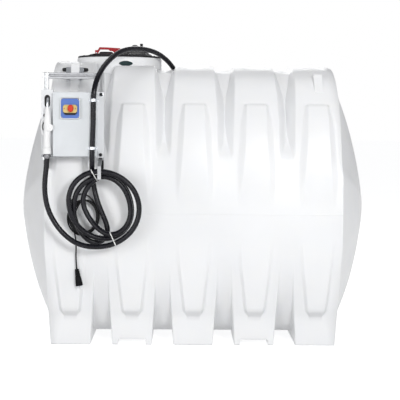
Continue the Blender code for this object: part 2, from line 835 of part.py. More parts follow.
def octagon(width, height, cut):
    half_w, half_h = width / 2, height / 2
    return [
        (-half_w, -half_h + cut),
        (-half_w + cut, -half_h),
        (half_w - cut, -half_h),
        (half_w, -half_h + cut),
        (half_w, half_h - cut),
        (half_w - cut, half_h),
        (-half_w + cut, half_h),
        (-half_w, half_h - cut),
    ]


def make_cabinet():
    back_y = POST_BACK_Y - PROFILE - GAP - SHEET - GAP
    box(
        "cabinet",
        (CABINET_MIN[0], CABINET_FRONT_Y, CABINET_MIN[1]),
        (CABINET_MAX[0], back_y, CABINET_MAX[1]),
        CABINET_GREY,
        bevel=0.004,
    )
    housing_back = CABINET_FRONT_Y - GAP
    housing_front = housing_back - HOUSING_DEPTH
    box(
        "switch_housing",
        (SWITCH_X - HOUSING_SIZE[0] / 2, housing_front, SWITCH_Z - HOUSING_SIZE[1] / 2),
        (SWITCH_X + HOUSING_SIZE[0] / 2, housing_back, SWITCH_Z + HOUSING_SIZE[1] / 2),
        WHITE_PAINT,
        bevel=0.002,
    )
    face_back = housing_front - GAP
    face = octagon(HOUSING_SIZE[0] - 0.006, HOUSING_SIZE[1] - 0.006, 0.012)
    front_plate("switch_face", [face], face_back, face_back - FACE_DEPTH, BLUE, (SWITCH_X, SWITCH_Z))
    base_back = face_back - FACE_DEPTH - GAP
    front_plate(
        "switch_base",
        [octagon(*BASE_SIZE, 0.009)],
        base_back,
        base_back - BASE_DEPTH,
        YELLOW,
        (SWITCH_X + 0.001, SWITCH_Z - 0.004),
    )
    knob_back = base_back - BASE_DEPTH - GAP
    bm = bmesh.new()
    bmesh.ops.create_cone(
        bm,
        cap_ends=True,
        segments=20,
        radius1=0.5,
        radius2=0.42,
        depth=TURN_DEPTH,
        matrix=Matrix.Diagonal((KNOB_SIZE[0], KNOB_SIZE[1], 1.0, 1.0)),
    )
    knob = object_from(bm, "switch_knob", ORANGE_RED, smooth=True)
    knob.location = (TURN_X, knob_back - TURN_DEPTH / 2, SWITCH_Z)
    knob.rotation_euler = (math.radians(90), 0, 0)


def make_holder():
    back_y = POST_BACK_Y - PROFILE - GAP - SHEET - GAP
    channel = [
        (HOLDER_MIN_X, back_y),
        (HOLDER_MIN_X, HOLDER_FRONT_Y),
        (HOLDER_MAX_X, HOLDER_FRONT_Y),
        (HOLDER_MAX_X, back_y),
        (HOLDER_MAX_X - SHEET, back_y),
        (HOLDER_MAX_X - SHEET, HOLDER_FRONT_Y + SHEET),
        (HOLDER_MIN_X + SHEET, HOLDER_FRONT_Y + SHEET),
        (HOLDER_MIN_X + SHEET, back_y),
    ]
    height = HOLDER_MAX_Z - HOLDER_MIN_Z
    holder = outline(
        "nozzle_holder", [channel], height, (0, 0, (HOLDER_MIN_Z + HOLDER_MAX_Z) / 2), WHITE_PAINT
    )
    holder = as_mesh(holder)
    slot_half = (SLOT_MAX_Z - SLOT_MIN_Z) / 2
    slot_turned = [(z, x) for x, z in stadium(slot_half, SLOT_HALF)]
    slot = front_plate(
        "slot_cut",
        [slot_turned[::-1]],
        HOLDER_FRONT_Y + 0.010,
        HOLDER_FRONT_Y - 0.010,
        None,
        (SLOT_X, (SLOT_MIN_Z + SLOT_MAX_Z) / 2),
        CUTTERS,
    )
    combine(holder, as_mesh(slot), "DIFFERENCE")


def make_nozzle():
    body = rod(
        "nozzle_body", (NOZZLE_X, NOZZLE_Y, GRIP_MIN_Z), (NOZZLE_X, NOZZLE_Y, GRIP_MAX_Z), GRIP_RADIUS, WHITE_PAINT
    )
    head = rod(
        "head_join",
        (NOZZLE_X, NOZZLE_Y, GRIP_MAX_Z - 0.004),
        (NOZZLE_X + 0.002, NOZZLE_Y, SHOULDER_Z),
        GRIP_RADIUS - 0.001,
        WHITE_PAINT,
        end_radius=0.0170,
    )
    neck = rod(
        "neck_join",
        (NOZZLE_X + 0.002, NOZZLE_Y, SHOULDER_Z - 0.004),
        (NOZZLE_X + 0.003, NOZZLE_Y, HEAD_TOP_Z),
        0.0162,
        WHITE_PAINT,
        end_radius=0.0100,
    )
    disc = rod(
        "disc_join",
        (DISC_X, CABINET_FRONT_Y - 0.001, DISC_Z),
        (DISC_X, CABINET_FRONT_Y - 0.019, DISC_Z),
        DISC_RADIUS,
        WHITE_PAINT,
        sides=20,
    )
    combine(body, head, "UNION")
    combine(body, neck, "UNION")
    combine(body, disc, "UNION")
    spout = [
        (NOZZLE_X + 0.003, NOZZLE_Y, HEAD_TOP_Z + GAP),
        (NOZZLE_X + 0.003, NOZZLE_Y, HEAD_TOP_Z + 0.012),
        (NOZZLE_X + 0.003, NOZZLE_Y + 0.001, HEAD_TOP_Z + 0.024),
        (NOZZLE_X + 0.003, NOZZLE_Y + 0.007, HEAD_TOP_Z + 0.036),
        (NOZZLE_X + 0.003, NOZZLE_Y + 0.020, HEAD_TOP_Z + 0.045),
        (NOZZLE_X + 0.003, NOZZLE_Y + 0.040, HEAD_TOP_Z + 0.048),
        (NOZZLE_X + 0.003, NOZZLE_Y + 0.062, HEAD_TOP_Z + 0.047),
    ]
    tube("nozzle_spout", spout, NECK_TUBE_RADIUS, WHITE_PAINT)
    grip_side = NOZZLE_X - GRIP_RADIUS - GAP
    trigger = [
        (NOZZLE_X - 0.0165, 1.186),
        (NOZZLE_X - 0.026, 1.181),
        (NOZZLE_X - 0.0285, 1.150),
        (NOZZLE_X - 0.0245, 1.118),
        (grip_side, 1.098),
        (grip_side, 1.104),
        (NOZZLE_X - 0.0215, 1.120),
        (NOZZLE_X - 0.0255, 1.150),
        (NOZZLE_X - 0.0235, 1.177),
        (NOZZLE_X - 0.0165, 1.182),
    ]
    front_plate("trigger_guard", [trigger], NOZZLE_Y + 0.006, NOZZLE_Y - 0.006, WHITE_PAINT)
    rod(
        "nozzle_collar",
        (NOZZLE_X, NOZZLE_Y, GRIP_MIN_Z - GAP),
        (NOZZLE_X, NOZZLE_Y, FERRULE_MIN_Z),
        FERRULE_RADIUS,
        WHITE_PAINT,
    )
    rod(
        "nozzle_hose_clamp",
        (NOZZLE_X, NOZZLE_Y, FERRULE_MIN_Z - GAP),
        (NOZZLE_X, NOZZLE_Y, CLAMP_MIN_Z),
        CLAMP_RADIUS,
        ZINC,
    )


FITTING_ROUTE = (
    (-0.1240, -0.0200, 1.4562),
    (-0.1240, -0.0200, 1.4630),
    (-0.1262, -0.0232, 1.4700),
    (-0.1305, -0.0295, 1.4748),
)
# The hose from the fitting on the tank, over the frame and down the cabinet to the coil
FEED_ROUTE = (
    (-0.1495, -0.062, 1.500),
    (-0.180, -0.120, 1.530),
    (-0.219, -0.195, 1.5505),
    (-0.260, -0.270, 1.5615),
    (-0.300, -0.345, 1.5645),
    (-0.340, -0.420, 1.5605),
    (-0.378, -0.490, 1.547),
    (-0.412, -0.560, 1.523),
    (-0.442, -0.625, 1.490),
    (-0.468, -0.694, 1.452),
    (-0.489, -0.750, 1.406),
    (-0.503, -0.784, 1.363),
    (-0.5095, -0.7942, 1.325),
    (-0.5115, -0.7942, 1.290),
    (-0.5115, HOSE_LINE_Y, 1.255),
    (-0.512, HOSE_LINE_Y, 1.215),
    (-0.513, HOSE_LINE_Y, 1.155),
    (-0.515, HOSE_LINE_Y, 1.095),
    (-0.517, HOSE_LINE_Y, 1.040),
    (-0.518, HOSE_LINE_Y, 0.990),
    (-0.519, -0.7905, 0.972),
    (-0.5195, -0.7845, 0.953),
    (-0.520, -0.782, 0.934),
)
# The hose from the nozzle to the coil
TAIL_ROUTE = (
    (-0.747, -0.7738, 0.9867),
    (-0.747, -0.7738, 0.976),
    (-0.7477, -0.7738, 0.962),
    (-0.7505, -0.7738, 0.935),
    (-0.7550, -0.7739, 0.900),
    (-0.7580, -0.7740, 0.865),
    (-0.7585, -0.7740, 0.830),
    (-0.7540, -0.7740, 0.782),
    (-0.7420, -0.7740, 0.730),
    (-0.7190, -0.7740, 0.680),
    (-0.6810, -0.7740, 0.624),
    (-0.6400, -0.7740, 0.584),
    (-0.6050, -0.7748, 0.5605),
    (-0.5790, -0.7755, 0.5495),
)


def oval_ring(name, centre, half, band, low_y, high_y, mat, steps=28):
    """The outer shape of a coil: a turned ring with its axis along Y, drawn out to an oval."""
    depth = high_y - low_y
    outer, middle = half[0], half[0] - band / 2
    profile = [
        (middle - band * 0.28, depth / 2),
        (middle + band * 0.28, depth / 2),
        (outer, depth * 0.25),
        (outer, -depth * 0.25),
        (middle + band * 0.28, -depth / 2),
        (middle - band * 0.28, -depth / 2),
        (outer - band, -depth * 0.25),
        (outer - band, depth * 0.25),
    ]
    place = (centre[0], (low_y + high_y) / 2, centre[1])
    ring = turned(name, profile, (0, 0, 0), mat, steps=steps)
    ring.rotation_euler = (math.radians(90), 0, 0)
    ring.location = place
    ring.scale = (1.0, half[1] / half[0], 1.0)
    return ring


def saddle(name, place):
    """A clamp strip over the hose, with an ear on each side against the cabinet."""
    x, z = place
    strip = SADDLE_STRIP
    back_y = CABINET_FRONT_Y - GAP
    inner = HOSE_RADIUS + 0.0008
    outer = inner + strip
    centre_y = HOSE_LINE_Y
    steps = 8
    arc_out = [
        (x + outer * math.cos(math.pi * k / steps), centre_y - outer * math.sin(math.pi * k / steps))
        for k in range(steps + 1)
    ]
    arc_in = [
        (x + inner * math.cos(math.pi * k / steps), centre_y - inner * math.sin(math.pi * k / steps))
        for k in range(steps, -1, -1)
    ]
    half = SADDLE_WIDTH / 2
    points = [
        (x + half, back_y),
        (x + half, back_y - strip),
        (x + outer, back_y - strip),
        *arc_out,
        (x - outer, back_y - strip),
        (x - half, back_y - strip),
        (x - half, back_y),
        (x - inner, back_y),
        *arc_in,
        (x + inner, back_y),
    ]
    height = SADDLE_HEIGHT
    outline(name, [points], height, (0, 0, z), ZINC)


def make_hose():
    spacing = 0.045
    tube("hose_fitting", FITTING_ROUTE, FITTING_RADIUS, BLACK_PLASTIC, resolution=3)
    start = Vector(FITTING_ROUTE[-1])
    along = (start - Vector(FITTING_ROUTE[-2])).normalized()
    feed = [start + along * GAP, *smooth_line([start + along * 0.012, *FEED_ROUTE], spacing)]
    tube("hose_feed", feed, HOSE_RADIUS, BLACK_RUBBER)
    oval_ring(
        "hose_coil",
        (COIL_X, COIL_Z),
        COIL_HALF,
        COIL_BAND,
        COIL_MIN_Y,
        COIL_MAX_Y,
        BLACK_RUBBER,
    )
    tail = [TAIL_ROUTE[0], *smooth_line(TAIL_ROUTE[1:], spacing)]
    tube("hose_tail", tail, HOSE_RADIUS, BLACK_RUBBER)
    saddle("upper_hose_clamp", UPPER_SADDLE)
    saddle("lower_hose_clamp", LOWER_SADDLE)


def make_lead():
    gland_top = CABINET_MIN[1] - GAP
    gland_foot = gland_top - GLAND_LENGTH
    rod(
        "lead_gland",
        (GLAND_X, GLAND_Y, gland_top),
        (GLAND_X, GLAND_Y, gland_foot),
        GLAND_RADIUS,
        BLACK_PLASTIC,
        end_radius=GLAND_RADIUS * 0.6,
    )
    upper = [
        (GLAND_X, GLAND_Y, gland_foot - 0.004),
        (-0.5257, -0.7123, 0.958),
        (-0.5270, -0.7061, 0.947),
        (-0.5286, -0.6965, 0.939),
        (-0.5302, -0.6840, 0.933),
        (-0.5316, -0.6744, 0.925),
        (-0.5330, -0.6682, 0.914),
        (-0.5348, -0.6660, 0.902),
        (-0.5415, -0.6645, 0.874),
        (-0.5515, -0.6615, 0.845),
        (-0.5575, -0.6605, 0.815),
        (-0.560, -0.6605, 0.7885),
    ]
    lead = [(GLAND_X, GLAND_Y, gland_foot - GAP), *smooth_line(upper, 0.014)]
    tube("power_lead", lead, LEAD_RADIUS, BLACK_RUBBER)
    oval_ring(
        "lead_coil",
        (LEAD_COIL_X, LEAD_COIL_Z),
        LEAD_COIL_HALF,
        LEAD_COIL_BAND,
        LEAD_COIL_MIN_Y,
        LEAD_COIL_MAX_Y,
        BLACK_RUBBER,
        steps=24,
    )
    top = Vector(PLUG_TOP)
    down = Vector((math.sin(PLUG_TILT), 0, -math.cos(PLUG_TILT)))
    lower = [
        (-0.6070, -0.6605, 0.5875),
        (-0.6075, -0.6620, 0.560),
        (-0.6085, -0.6645, 0.520),
        (-0.6080, -0.6665, 0.475),
        top - down * 0.020,
    ]
    drop = [*smooth_line(lower, 0.02), top - down * GAP]
    tube("lead_drop", drop, LEAD_RADIUS, BLACK_RUBBER)
    turned(
        "mains_plug",
        [
            (0, 0),
            (0.0065, 0),
            (0.0085, -0.012),
            (0.0125, -0.030),
            (0.0165, -0.052),
            (0.0185, -0.070),
            (0.0190, -PLUG_LENGTH),
            (0, -PLUG_LENGTH),
        ],
        top,
        BLACK_RUBBER,
        direction=-down,
        steps=20,
    )


make_tank()
make_manhole()
make_frame()
make_hanger()
make_cabinet()
make_holder()
make_nozzle()
make_hose()
make_lead()
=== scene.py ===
"""Diesel exhaust fluid tank with its dispensing kit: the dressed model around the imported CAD."""

import math

import bmesh
import bpy
import numpy as np
from mathutils import Matrix, Vector


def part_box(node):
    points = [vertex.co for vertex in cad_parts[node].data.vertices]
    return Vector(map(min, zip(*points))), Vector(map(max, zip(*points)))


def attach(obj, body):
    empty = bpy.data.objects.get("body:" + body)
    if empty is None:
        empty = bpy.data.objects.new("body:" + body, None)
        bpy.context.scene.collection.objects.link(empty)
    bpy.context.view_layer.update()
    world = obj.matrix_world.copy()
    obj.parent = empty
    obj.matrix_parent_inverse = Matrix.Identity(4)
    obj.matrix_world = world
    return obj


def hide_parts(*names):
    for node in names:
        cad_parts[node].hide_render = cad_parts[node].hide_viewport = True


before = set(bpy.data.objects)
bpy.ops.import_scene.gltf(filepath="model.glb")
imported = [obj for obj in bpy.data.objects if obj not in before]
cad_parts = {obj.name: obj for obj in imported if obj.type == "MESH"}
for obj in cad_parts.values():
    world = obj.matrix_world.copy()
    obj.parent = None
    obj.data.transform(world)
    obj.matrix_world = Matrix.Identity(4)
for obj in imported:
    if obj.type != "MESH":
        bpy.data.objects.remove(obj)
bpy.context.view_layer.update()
BODY = "tank"
FORWARD = (0, -1, 0)


# Camera, as the photograph was taken

CAM_PLACE = (-0.0762, -6.8254, 1.1987)
CAM_PITCH = math.radians(3.9413)  # down
CAM_YAW = math.radians(0.9839)  # to the right
CAM_ROLL = math.radians(0.4681)
CAM_LENS = 107.7


def add_object(name, data):
    obj = bpy.data.objects.new(name, data)
    bpy.context.scene.collection.objects.link(obj)
    return obj


def make_camera():
    ahead = Vector(
        (
            math.sin(CAM_YAW) * math.cos(CAM_PITCH), math.cos(CAM_YAW) * math.cos(CAM_PITCH),
            -math.sin(CAM_PITCH),
        )
    )
    level = Vector((math.cos(CAM_YAW), -math.sin(CAM_YAW), 0.0))
    above = level.cross(ahead)
    right = math.cos(CAM_ROLL) * level + math.sin(CAM_ROLL) * above
    up = -math.sin(CAM_ROLL) * level + math.cos(CAM_ROLL) * above
    data = bpy.data.cameras.new("camera")
    data.sensor_width = 36.0
    data.lens = CAM_LENS
    data.clip_end = 200.0
    camera = add_object("camera", data)
    camera.matrix_world = Matrix(
        (
            (right.x, up.x, -ahead.x, CAM_PLACE[0]), (right.y, up.y, -ahead.y, CAM_PLACE[1]),
            (right.z, up.z, -ahead.z, CAM_PLACE[2]), (0, 0, 0, 1),
        )
    )
    bpy.context.scene.camera = camera


SKY_LIGHT = 0.36
FLOOR_GLOW = 0.68
# Each lamp's name, place, target, size and power
LAMPS = (
    ("key", (1.8, -6.6, 2.5), (0.0, 0.0, 0.8), 1.5, 176.0),
    ("fill", (-3.2, -6.2, 1.2), (-0.1, 0.0, 0.8), 3.2, 110.0),
    ("left", (-6.5, -3.0, 1.6), (-0.8, 0.0, 0.8), 3.0, 56.0),
    ("right", (6.5, -3.0, 1.6), (0.8, 0.0, 0.8), 3.0, 76.0),
    ("low", (0.0, -3.2, -0.4), (0.0, 0.0, 0.9), 3.0, 6.0),
    ("top", (0.0, 0.5, 6.4), (0.0, 0.0, 1.0), 4.0, 48.0),
    ("back", (0.0, 7.0, 3.2), (0.0, 0.0, 0.9), 4.0, 110.0),
)


def area_light(name, place, target, size, power):
    data = bpy.data.lights.new(name, "AREA")
    data.shape = "DISK"
    data.size = size
    data.energy = power
    lamp = add_object(name, data)
    lamp.location = place
    lamp.rotation_euler = (Vector(target) - Vector(place)).to_track_quat("-Z", "Y").to_euler()


def make_studio():
    """A white sky for the camera, a dimmer one for the light, the lamps and a pale lit floor."""
    world = bpy.data.worlds.new("studio")
    world.use_nodes = True
    tree = world.node_tree
    glow = tree.nodes["Background"]
    glow.inputs[0].default_value = (0.97, 0.98, 1.0, 1.0)
    glow.inputs[1].default_value = SKY_LIGHT
    seen = tree.nodes.new("ShaderNodeBackground")
    seen.inputs[0].default_value = (1.0, 1.0, 1.0, 1.0)
    ray = tree.nodes.new("ShaderNodeLightPath")
    choose = tree.nodes.new("ShaderNodeMixShader")
    tree.links.new(ray.outputs["Is Camera Ray"], choose.inputs[0])
    tree.links.new(glow.outputs[0], choose.inputs[1])
    tree.links.new(seen.outputs[0], choose.inputs[2])
    tree.links.new(choose.outputs[0], tree.nodes["World Output"].inputs[0])
    bpy.context.scene.world = world
    for lamp in LAMPS:
        area_light(*lamp)
    bm = bmesh.new()
    bmesh.ops.create_circle(bm, cap_ends=True, segments=96, radius=60.0)
    for v in bm.verts:
        v.co.z = -0.0005
    mesh = bpy.data.meshes.new("studio_floor")
    bm.to_mesh(mesh)
    bm.free()
    floor = add_object("studio_floor", mesh)
    finish = bpy.data.materials.new("studio_floor")
    finish.use_nodes = True
    shader = finish.node_tree.nodes["Principled BSDF"]
    shader.inputs["Base Color"].default_value = (0.86, 0.86, 0.86, 1.0)
    shader.inputs["Roughness"].default_value = 0.9
    shader.inputs["Emission Color"].default_value = (1.0, 1.0, 1.0, 1.0)
    shader.inputs["Emission Strength"].default_value = FLOOR_GLOW
    mesh.materials.append(finish)
    floor.visible_diffuse = False
    bpy.context.scene.view_settings.view_transform = "Standard"


make_camera()
make_studio()


# Small helpers for meshes


def piece_from(bm, name, mat, angle=None):
    """The finished piece: flat, or smooth up to an angle between its faces."""
    bmesh.ops.recalc_face_normals(bm, faces=bm.faces)
    mesh = bpy.data.meshes.new(name)
    bm.to_mesh(mesh)
    bm.free()
    if angle is not None:
        mesh.shade_smooth()
        mesh.set_sharp_from_angle(angle=math.radians(angle))
    mesh.materials.append(mat)
    return add_object(name, mesh)


def fit(obj, *nodes, slot=None, body=BODY):
    """The piece takes the place of the nodes and rides on its body."""
    if nodes:
        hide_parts(*nodes)
    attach(obj, body)


def circle(steps):
    return [2 * math.pi * k / steps for k in range(steps)]


def eased(share):
    """A share from 0 to 1 with a soft start and end."""
    return share * share * (3 - 2 * share)


def node_box(node):
    """The lowest corner, the highest corner and the middle of a CAD piece."""
    low, high = (Vector(corner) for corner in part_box(node))
    return low, high, (low + high) / 2


def skin(name, rings, mat, angle=50.0, closed=False, caps=True):
    """A surface through rings of points, with its end rings filled. A ring of one point is a pole."""
    bm = bmesh.new()
    rings = [[bm.verts.new(p) for p in ring] for ring in rings]
    for a, b in zip(rings, rings[1:] + rings[: int(closed)]):
        count = max(len(a), len(b))
        for k in range(count):
            j = (k + 1) % count
            corners = (a[k % len(a)], a[j % len(a)], b[j % len(b)], b[k % len(b)])
            bm.faces.new(list(dict.fromkeys(corners)))
    for ring in (rings[0], rings[-1]):
        if caps and not closed and len(ring) > 1:
            bm.faces.new(ring)
    return piece_from(bm, name, mat, angle)


def rounded(obj, width, segments=3):
    """Rounded edges, with the flat faces kept flat in the shading."""
    soft = obj.modifiers.new("rounded", "BEVEL")
    soft.width = width
    soft.segments = segments
    soft.limit_method = "ANGLE"
    soft.angle_limit = math.radians(30)
    even = obj.modifiers.new("even", "WEIGHTED_NORMAL")
    even.keep_sharp = True
    for face in obj.data.polygons:
        face.use_smooth = True
    return obj


def block(name, low, high, mat, bevel=0.001, segments=3):
    bm = bmesh.new()
    bmesh.ops.create_cube(bm, size=1.0)
    for v in bm.verts:
        v.co = Vector((a + b) / 2 + c * (b - a) for a, b, c in zip(low, high, v.co))
    obj = piece_from(bm, name, mat)
    return rounded(obj, bevel, segments) if bevel else obj


def lathe(name, profile, place, mat, direction=(0, 0, 1), steps=64, wave=None):
    """A solid of revolution. profile lists (radius, height) from the top centre to the foot centre."""
    rings = []
    for r, h in profile:
        if r <= 1e-6:
            rings.append([(0, 0, h)])
            continue
        reaches = [(a, r if wave is None else r * wave(a, h)) for a in circle(steps)]
        rings.append([(reach * math.cos(a), reach * math.sin(a), h) for a, reach in reaches])
    turn = Vector(direction).to_track_quat("Z", "Y").to_matrix().to_4x4()
    matrix = Matrix.Translation(Vector(place)) @ turn
    rings = [[matrix @ Vector(p) for p in ring] for ring in rings]
    return skin(name, rings, mat, angle=35.0, caps=profile[0] != profile[-1])


def plate(name, outline, low, high, mat, plane="xz", bevel=0.0008, segments=2):
    """A flat plate: the outline in the plane xz or xy, from low to high along the third axis."""
    curve = bpy.data.curves.new(name, "CURVE")
    curve.dimensions = "2D"
    curve.fill_mode = "BOTH"
    curve.extrude = (high - low) / 2
    spline = curve.splines.new("POLY")
    spline.points.add(len(outline) - 1)
    for place, point in zip(spline.points, outline):
        place.co = (*point, 0.0, 1.0)
    spline.use_cyclic_u = True
    raw = add_object(name + "_raw", curve)
    bpy.context.view_layer.update()
    graph = bpy.context.evaluated_depsgraph_get()
    mesh = bpy.data.meshes.new_from_object(raw.evaluated_get(graph))
    bpy.data.objects.remove(raw, do_unlink=True)
    bm = bmesh.new()
    bm.from_mesh(mesh)
    bpy.data.meshes.remove(mesh)
    bmesh.ops.remove_doubles(bm, verts=bm.verts, dist=1e-6)
    mid = (low + high) / 2
    for v in bm.verts:
        a, b, c = v.co
        v.co = (a, c + mid, b) if plane == "xz" else (a, b, c + mid)
    bmesh.ops.dissolve_limit(bm, angle_limit=0.001, verts=bm.verts, edges=bm.edges)
    obj = piece_from(bm, name, mat)
    return rounded(obj, bevel, segments) if bevel else obj


def oval(half_width, half_height, centre):
    """Two half circles and the straight sides between them."""
    straight = half_width - half_height
    points = []
    for side, start in ((1, -90), (-1, 90)):
        for k in range(11):
            turn = math.radians(start + 18 * k)
            x = centre[0] + side * straight + half_height * math.cos(turn)
            points.append((x, centre[1] + half_height * math.sin(turn)))
    return points


def between(p, q, start, end, t):
    """The point that stands between p and q as t stands between start and end."""
    return (end - t) / (end - start) * p + (t - start) / (end - start) * q


def smooth_line(points, step, rounds=0):
    """A polyline of equal steps on a smooth curve through the points. Its ends stay where they are."""
    pts = [np.array(p, float) for p in points]
    pts = [2 * pts[0] - pts[1], *pts, 2 * pts[-1] - pts[-2]]
    fine = []
    for a, b, c, d in zip(pts, pts[1:], pts[2:], pts[3:]):
        gaps = [np.linalg.norm(q - p) ** 0.5 for p, q in ((a, b), (b, c), (c, d))]
        at_a, at_b, at_c, at_d = np.cumsum([0.0] + gaps)
        for k in range(10):
            t = at_b + (at_c - at_b) * k / 10
            ab = between(a, b, at_a, at_b, t)
            bc = between(b, c, at_b, at_c, t)
            cd = between(c, d, at_c, at_d, t)
            abc = between(ab, bc, at_a, at_c, t)
            bcd = between(bc, cd, at_b, at_d, t)
            fine.append(between(abc, bcd, at_b, at_c, t))
    fine.append(pts[-2])
    line = even_steps(np.array(fine), step)
    for _ in range(rounds):
        mixed = line.copy()
        mixed[2:-2] = line[2:-2] * 0.5 + (line[1:-3] + line[3:-1]) * 0.25
        line = mixed
    return even_steps(line, step) if rounds else line


def even_steps(line, step):
    reach = np.concatenate([[0], np.cumsum(np.linalg.norm(np.diff(line, axis=0), axis=1))])
    count = max(2, round(reach[-1] / step))
    want = np.linspace(0, reach[-1], count + 1)
    return np.stack([np.interp(want, reach, line[:, i]) for i in range(3)], axis=1)


def swept(name, line, radius, mat, sides=16):
    """A round tube along a line, with flat ends."""
    line = np.asarray(line, float)
    along = np.gradient(line, axis=0)
    along /= np.linalg.norm(along, axis=1)[:, None]
    side = np.cross(along[0], (0.0, 0.0, 1.0))
    if np.linalg.norm(side) < 0.2:
        side = np.cross(along[0], (1.0, 0.0, 0.0))
    side /= np.linalg.norm(side)
    turns = np.linspace(0, 2 * math.pi, sides, endpoint=False)
    rings = []
    for p, t in zip(line, along):
        side = side - t * np.dot(side, t)
        side /= np.linalg.norm(side)
        other = np.cross(t, side)
        rings.append([p + radius * (side * math.cos(a) + other * math.sin(a)) for a in turns])
    return skin(name, rings, mat, angle=60.0)


# Materials


class Finish:
    """A Principled material with a few chained texture nodes."""

    def __init__(self, name, colour, roughness, metallic=0.0, **sockets):
        self.mat = bpy.data.materials.new(name)
        self.mat.use_nodes = True
        self.tree = self.mat.node_tree
        self.shader = self.tree.nodes["Principled BSDF"]
        self.shader.inputs["Base Color"].default_value = (*colour, 1.0)
        self.shader.inputs["Roughness"].default_value = roughness
        self.shader.inputs["Metallic"].default_value = metallic
        for key, value in sockets.items():
            self.shader.inputs[key.replace("_", " ")].default_value = value
        self.colour = colour
        self.roughness = roughness
        self.place = self.tree.nodes.new("ShaderNodeTexCoord").outputs["Object"]
        self.bump_in = None

    def node(self, kind, **values):
        made = self.tree.nodes.new(kind)
        for key, value in values.items():
            if key in made.inputs.keys():
                made.inputs[key].default_value = value
            else:
                setattr(made, key, value)
        return made

    def wire(self, source, target):
        self.tree.links.new(source, target)

    def noise(self, scale, detail=3.0, rough=0.5, stretch=(1, 1, 1)):
        spread = self.node("ShaderNodeMapping")
        spread.inputs["Scale"].default_value = stretch
        self.wire(self.place, spread.inputs["Vector"])
        made = self.node("ShaderNodeTexNoise", Scale=scale, Detail=detail, Roughness=rough)
        self.wire(spread.outputs["Vector"], made.inputs["Vector"])
        return made.outputs["Fac"]

    def ramp(self, source, low, high, start=0.35, end=0.65):
        limits = {"From Min": start, "From Max": end, "To Min": low, "To Max": high}
        made = self.node("ShaderNodeMapRange", **limits)
        self.wire(source, made.inputs["Value"])
        return made.outputs["Result"]

    def tint(self, source, other, amount=1.0, start=0.4, end=0.7):
        """The base colour drifts to another one where the source is high."""
        mix = self.node("ShaderNodeMix", data_type="RGBA")
        share = self.ramp(source, 0.0, amount, start, end)
        self.wire(share, mix.inputs[0])
        current = self.shader.inputs["Base Color"]
        if current.is_linked:
            self.wire(current.links[0].from_socket, mix.inputs[6])
        else:
            mix.inputs[6].default_value = (*self.colour, 1.0)
        mix.inputs[7].default_value = (*other, 1.0)
        self.wire(mix.outputs[2], current)
        return self

    def rough(self, source, spread, start=0.3, end=0.7):
        self.wire(
            self.ramp(source, self.roughness - spread, self.roughness + spread, start, end),
            self.shader.inputs["Roughness"],
        )
        return self

    def bump(self, source, strength, distance=0.001):
        made = self.node("ShaderNodeBump", Strength=strength, Distance=distance)
        self.wire(source, made.inputs["Height"])
        if self.bump_in is not None:
            self.wire(self.bump_in, made.inputs["Normal"])
        self.bump_in = made.outputs["Normal"]
        self.wire(self.bump_in, self.shader.inputs["Normal"])
        return self


def polyethylene():
    glow = {"Subsurface_Weight": 0.12, "Subsurface_Radius": (0.02, 0.02, 0.022)}
    f = Finish("white_polyethylene", (0.86, 0.865, 0.875), 0.38, IOR=1.5, **glow)
    f.tint(f.noise(2.2, 4.0), (0.8, 0.81, 0.825), 0.55)
    f.tint(f.noise(9.0, 3.0), (0.88, 0.875, 0.86), 0.35)
    f.rough(f.noise(14.0, 3.0), 0.06)
    f.bump(f.noise(160.0, 2.0), 0.18, 0.001)
    f.bump(f.noise(24.0, 2.0), 0.2, 0.002)
    return f.mat


def powder_coat(name, colour):
    f = Finish(name, colour, 0.38)
    f.tint(f.noise(5.0, 3.0), tuple(c * 0.93 for c in colour), 0.5)
    f.rough(f.noise(30.0, 2.0), 0.05)
    f.bump(f.noise(900.0, 2.0), 0.25, 0.0004)
    return f.mat


def moulded(name, colour, roughness, shine=0.5):
    f = Finish(name, colour, roughness, Specular_IOR_Level=shine)
    f.tint(f.noise(12.0, 3.0), tuple(min(1.0, c * 1.1 + 0.002) for c in colour), 0.5)
    f.rough(f.noise(40.0, 3.0), 0.07)
    f.bump(f.noise(700.0, 2.0), 0.2, 0.0004)
    return f.mat


def rubber(name, colour, roughness=0.5, shine=0.3):
    f = Finish(name, colour, roughness, Specular_IOR_Level=shine)
    f.tint(f.noise(18.0, 4.0), tuple(c * 1.5 + 0.002 for c in colour), 0.6, 0.45, 0.75)
    f.rough(f.noise(60.0, 3.0), 0.1)
    f.bump(f.noise(420.0, 3.0), 0.35, 0.0006)
    return f.mat


def bright_metal(name, colour, roughness=0.32, stretch=(1, 1, 30)):
    f = Finish(name, colour, roughness, 1.0)
    f.tint(f.noise(40.0, 3.0), tuple(c * 0.78 for c in colour), 0.6)
    f.rough(f.noise(90.0, 3.0, stretch=stretch), 0.1)
    f.bump(f.noise(300.0, 2.0, stretch=stretch), 0.12, 0.0003)
    return f.mat


PE = polyethylene()
WHITE = powder_coat("white_paint", (0.775, 0.785, 0.8))
WHITE_PLASTIC = moulded("white_plastic", (0.84, 0.84, 0.84), 0.35)
CABINET = moulded("light_grey_housing", (0.655, 0.68, 0.7), 0.45)
# One aluminium in three copies: the lighter copy carries painted light for the left post, and the darker
# copy carries painted shade for the right post and the hose hook.
ALUMINIUM = bright_metal("aluminium", (0.38, 0.385, 0.4), 0.38, (30, 30, 1))
PAINTED_LIGHT_ALUMINIUM = bright_metal("aluminium_painted_light", (0.66, 0.67, 0.68), 0.36, (30, 30, 1))
PAINTED_SHADE_ALUMINIUM = bright_metal("aluminium_painted_shade", (0.36, 0.365, 0.375), 0.42, (30, 30, 1))
ZINC = bright_metal("zinc_steel", (0.57, 0.59, 0.62), 0.38, (1, 1, 1))
DARK_STEEL = bright_metal("dark_steel", (0.2, 0.2, 0.21), 0.42, (1, 1, 1))
BLACK = moulded("black_plastic", (0.01, 0.01, 0.012), 0.48, shine=0.25)
GREY = moulded("grey_plastic", (0.031, 0.03, 0.03), 0.24)
RED = moulded("red_plastic", (0.38, 0.006, 0.012), 0.36, shine=0.3)
